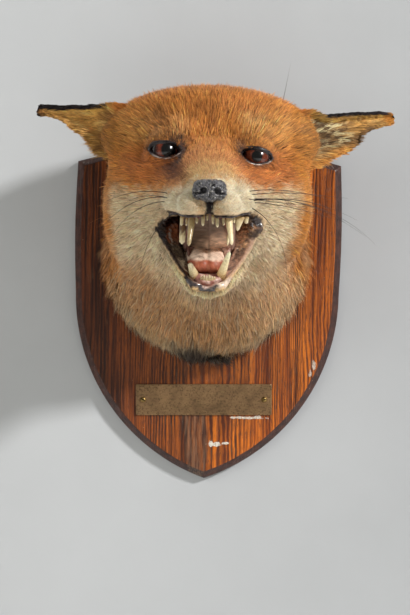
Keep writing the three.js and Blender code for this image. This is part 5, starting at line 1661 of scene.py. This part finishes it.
def rounded_plate(w, h, t, r, b):
    """A plate with rounded corners and softened front edges, its back on y = 0."""
    n = 6
    pts = []
    for cx, cz, a0 in ((w / 2 - r, -h / 2 + r, -90), (w / 2 - r, h / 2 - r, 0), (-w / 2 + r, h / 2 - r, 90), (-w / 2 + r, -h / 2 + r, 180)):
        for i in range(n + 1):
            a = math.radians(a0 + 90 * i / n)
            pts.append((cx + r * math.cos(a), cz + r * math.sin(a)))
    O = np.array(pts)
    tn = np.roll(O, -1, 0) - np.roll(O, 1, 0)
    no = np.stack([tn[:, 1], -tn[:, 0]], -1)
    no /= np.linalg.norm(no, axis=1)[:, None]
    rows = []
    for inset, y in ((0, 0), (0, -t + b), (b * 0.3, -t + b * 0.3), (b, -t)):
        q = O - no * inset
        rows.append(np.stack([q[:, 0], np.full(len(q), y), q[:, 1]], -1))
    V = np.concatenate(rows)
    n = len(O)
    i = np.arange(len(rows) * n).reshape(len(rows), n)
    j = np.roll(i, -1, 1)
    return V, [np.stack([i[:-1], i[1:], j[1:], j[:-1]], -1).reshape(-1, 4), i[-1][None, ::-1], i[0][None, :]]


tilt = math.radians(1.1)


def tilted(V, x=-1.0, z=-65.7, y=-BOARD - 0.3):
    X = V[:, 0] * math.cos(tilt) - V[:, 2] * math.sin(tilt)
    Z = V[:, 0] * math.sin(tilt) + V[:, 2] * math.cos(tilt)
    return np.stack([X + x, V[:, 1] + y, Z + z], -1)


PV, PF = rounded_plate(89.6, 20.5, 1.2, 0.9, 0.3)
PF[1] = PF[1][:, ::-1]
piece(build("brass_plate", tilted(PV), PF, [brass], smooth=False), "brass_plate", "plaque")

for side, sx in (("left", -39.9), ("right", 39.9)):
    prof = [(0.0, 0.3), (1.9, 0.3), (1.92, 0.0), (1.85, -0.35), (1.6, -0.75), (1.15, -1.08), (0.6, -1.26), (0.0, -1.3)]
    n = 40
    a = np.arange(n) / n * 2 * np.pi
    V_ = np.concatenate([np.stack([r_ * np.cos(a), np.full(n, y_), r_ * np.sin(a)], -1) for r_, y_ in [(max(p_[0], 0.02), p_[1]) for p_ in prof]])
    sa = 0.5 if side == "right" else -0.5
    across = -V_[:, 0] * math.sin(sa) + V_[:, 2] * math.cos(sa)
    i = np.arange(len(prof) * n).reshape(len(prof), n)
    j = np.roll(i, -1, 1)
    Qs = np.stack([i[:-1], i[1:], j[1:], j[:-1]], -1).reshape(-1, 4)
    o = build(f"screw_{side}_head", tilted(V_ + np.array([sx, -1.5, 0])), [Qs], [screw_brass])
    cut = build("cut", tilted(np.array([[x_, y_, z_] for x_ in (-3, 3) for y_ in (-2.2, -0.75) for z_ in (-0.28, 0.28)]) @ np.array([[math.cos(sa), 0, math.sin(sa)], [0, 1, 0], [-math.sin(sa), 0, math.cos(sa)]]) + np.array([sx, -1.5, 0])),
                [np.array([[0, 1, 3, 2], [4, 6, 7, 5], [0, 4, 5, 1], [2, 3, 7, 6], [0, 2, 6, 4], [1, 5, 7, 3]])], [screw_brass])
    md = o.modifiers.new("slot", "BOOLEAN")
    md.object, md.operation, md.solver = cut, "DIFFERENCE", "EXACT"
    bpy.context.view_layer.update()
    dg = bpy.context.evaluated_depsgraph_get()
    new = bpy.data.meshes.new_from_object(o.evaluated_get(dg))
    o.modifiers.clear()
    o.data = new
    bpy.data.objects.remove(cut)
    piece(o, "brass_screw", "plaque_screw_" + side)


# ------------------------------------------------------------------ room, light and camera
def plane(name, corners, mat):
    o = build(name, np.array(corners, float), [np.array([[0, 1, 2, 3]])], [mat], smooth=False)
    return o


N = Nodes("wall_paint")
v = N.coords()
wn = N.noise(v, 9, 4)
wf = N.noise(v, 500, 3)
gx = N.n("ShaderNodeSeparateXYZ")
N.put(gx.inputs[0], N.n("ShaderNodeTexCoord").outputs["Object"])
# painted light: the wall is lighter on the left and darker on the right
wn = N.math("ADD", N.math("MULTIPLY", wn, 0.6), N.map(gx.outputs[0], -0.16, 0.16, 0.55, -0.1))
wcol = N.mix(N.map(wn, 0.1, 0.9), hexlin(180, 182, 184), hexlin(199, 201, 203))
N.out(Base_Color=wcol, Roughness=0.85, Specular_IOR_Level=0.2, Normal=N.bump(wf, 0.08, 0.0004))
geo = N.n("ShaderNodeNewGeometry")
clear = N.n("ShaderNodeBsdfTransparent")
mixs = N.n("ShaderNodeMixShader")
outn = N.t.nodes["Material Output"]
N.put(mixs.inputs[0], geo.outputs["Backfacing"])
N.put(mixs.inputs[1], N.b.outputs[0])
N.put(mixs.inputs[2], clear.outputs[0])
N.put(outn.inputs["Surface"], mixs.outputs[0])
L = 4000
wall = plane("wall", [(-L, 1.0, -500), (L, 1.0, -500), (L, 1.0, L), (-L, 1.0, L)], N.m)
wall.visible_shadow = False

N = Nodes("floor_paint")
fn = N.noise(N.coords(), 12, 4)
N.out(Base_Color=N.mix(N.map(fn, 0.3, 0.7), hexlin(214, 213, 210), hexlin(222, 221, 218)), Roughness=0.8, Specular_IOR_Level=0.2)
floor = plane("floor", [(-L, -L, -500), (L, -L, -500), (L, L, -500), (-L, L, -500)], N.m)


def area(name, loc, target, size, power, color=(1, 1, 1)):
    l = bpy.data.lights.new(name, "AREA")
    l.shape = "DISK"
    l.size, l.energy, l.color = size, power, color
    o = bpy.data.objects.new(name, l)
    o.location = Vector(loc)
    o.rotation_mode = "QUATERNION"
    o.rotation_quaternion = (Vector(target) - Vector(loc)).to_track_quat("-Z", "Y")
    bpy.context.scene.collection.objects.link(o)
    return o


area("key", (2.22, -2.02, 1.46), (0, -0.05, 0), 0.36, 97, (1.0, 0.992, 0.985))
fill = area("fill", (-2.0, -2.0, 0.6), (0, -0.05, 0), 2.4, 27, (1.0, 1.0, 0.95))
fill.visible_glossy = False
area("back", (0.6, 1.9, 1.2), (0, 0, 0.05), 1.4, 14, (1.0, 1.0, 1.0))

w = bpy.data.worlds.new("room")
w.use_nodes = True
w.node_tree.nodes["Background"].inputs[0].default_value = (1.0, 1.0, 0.92, 1)
w.node_tree.nodes["Background"].inputs[1].default_value = 0.15
bpy.context.scene.world = w

cam_data = bpy.data.cameras.new("camera")
cam_data.lens, cam_data.sensor_width = 119.0, 36.0
cam_data.sensor_fit = "AUTO"
cam = bpy.data.objects.new("camera", cam_data)
cam.location = (-0.0013, -1.35, -0.005)
cam.rotation_mode = "XYZ"
cam.rotation_euler = (math.radians(90), math.radians(-1.1), 0)
cam_data.clip_start, cam_data.clip_end = 0.05, 30
bpy.context.scene.collection.objects.link(cam)
bpy.context.scene.camera = cam
bpy.context.scene.view_settings.view_transform = "Standard"
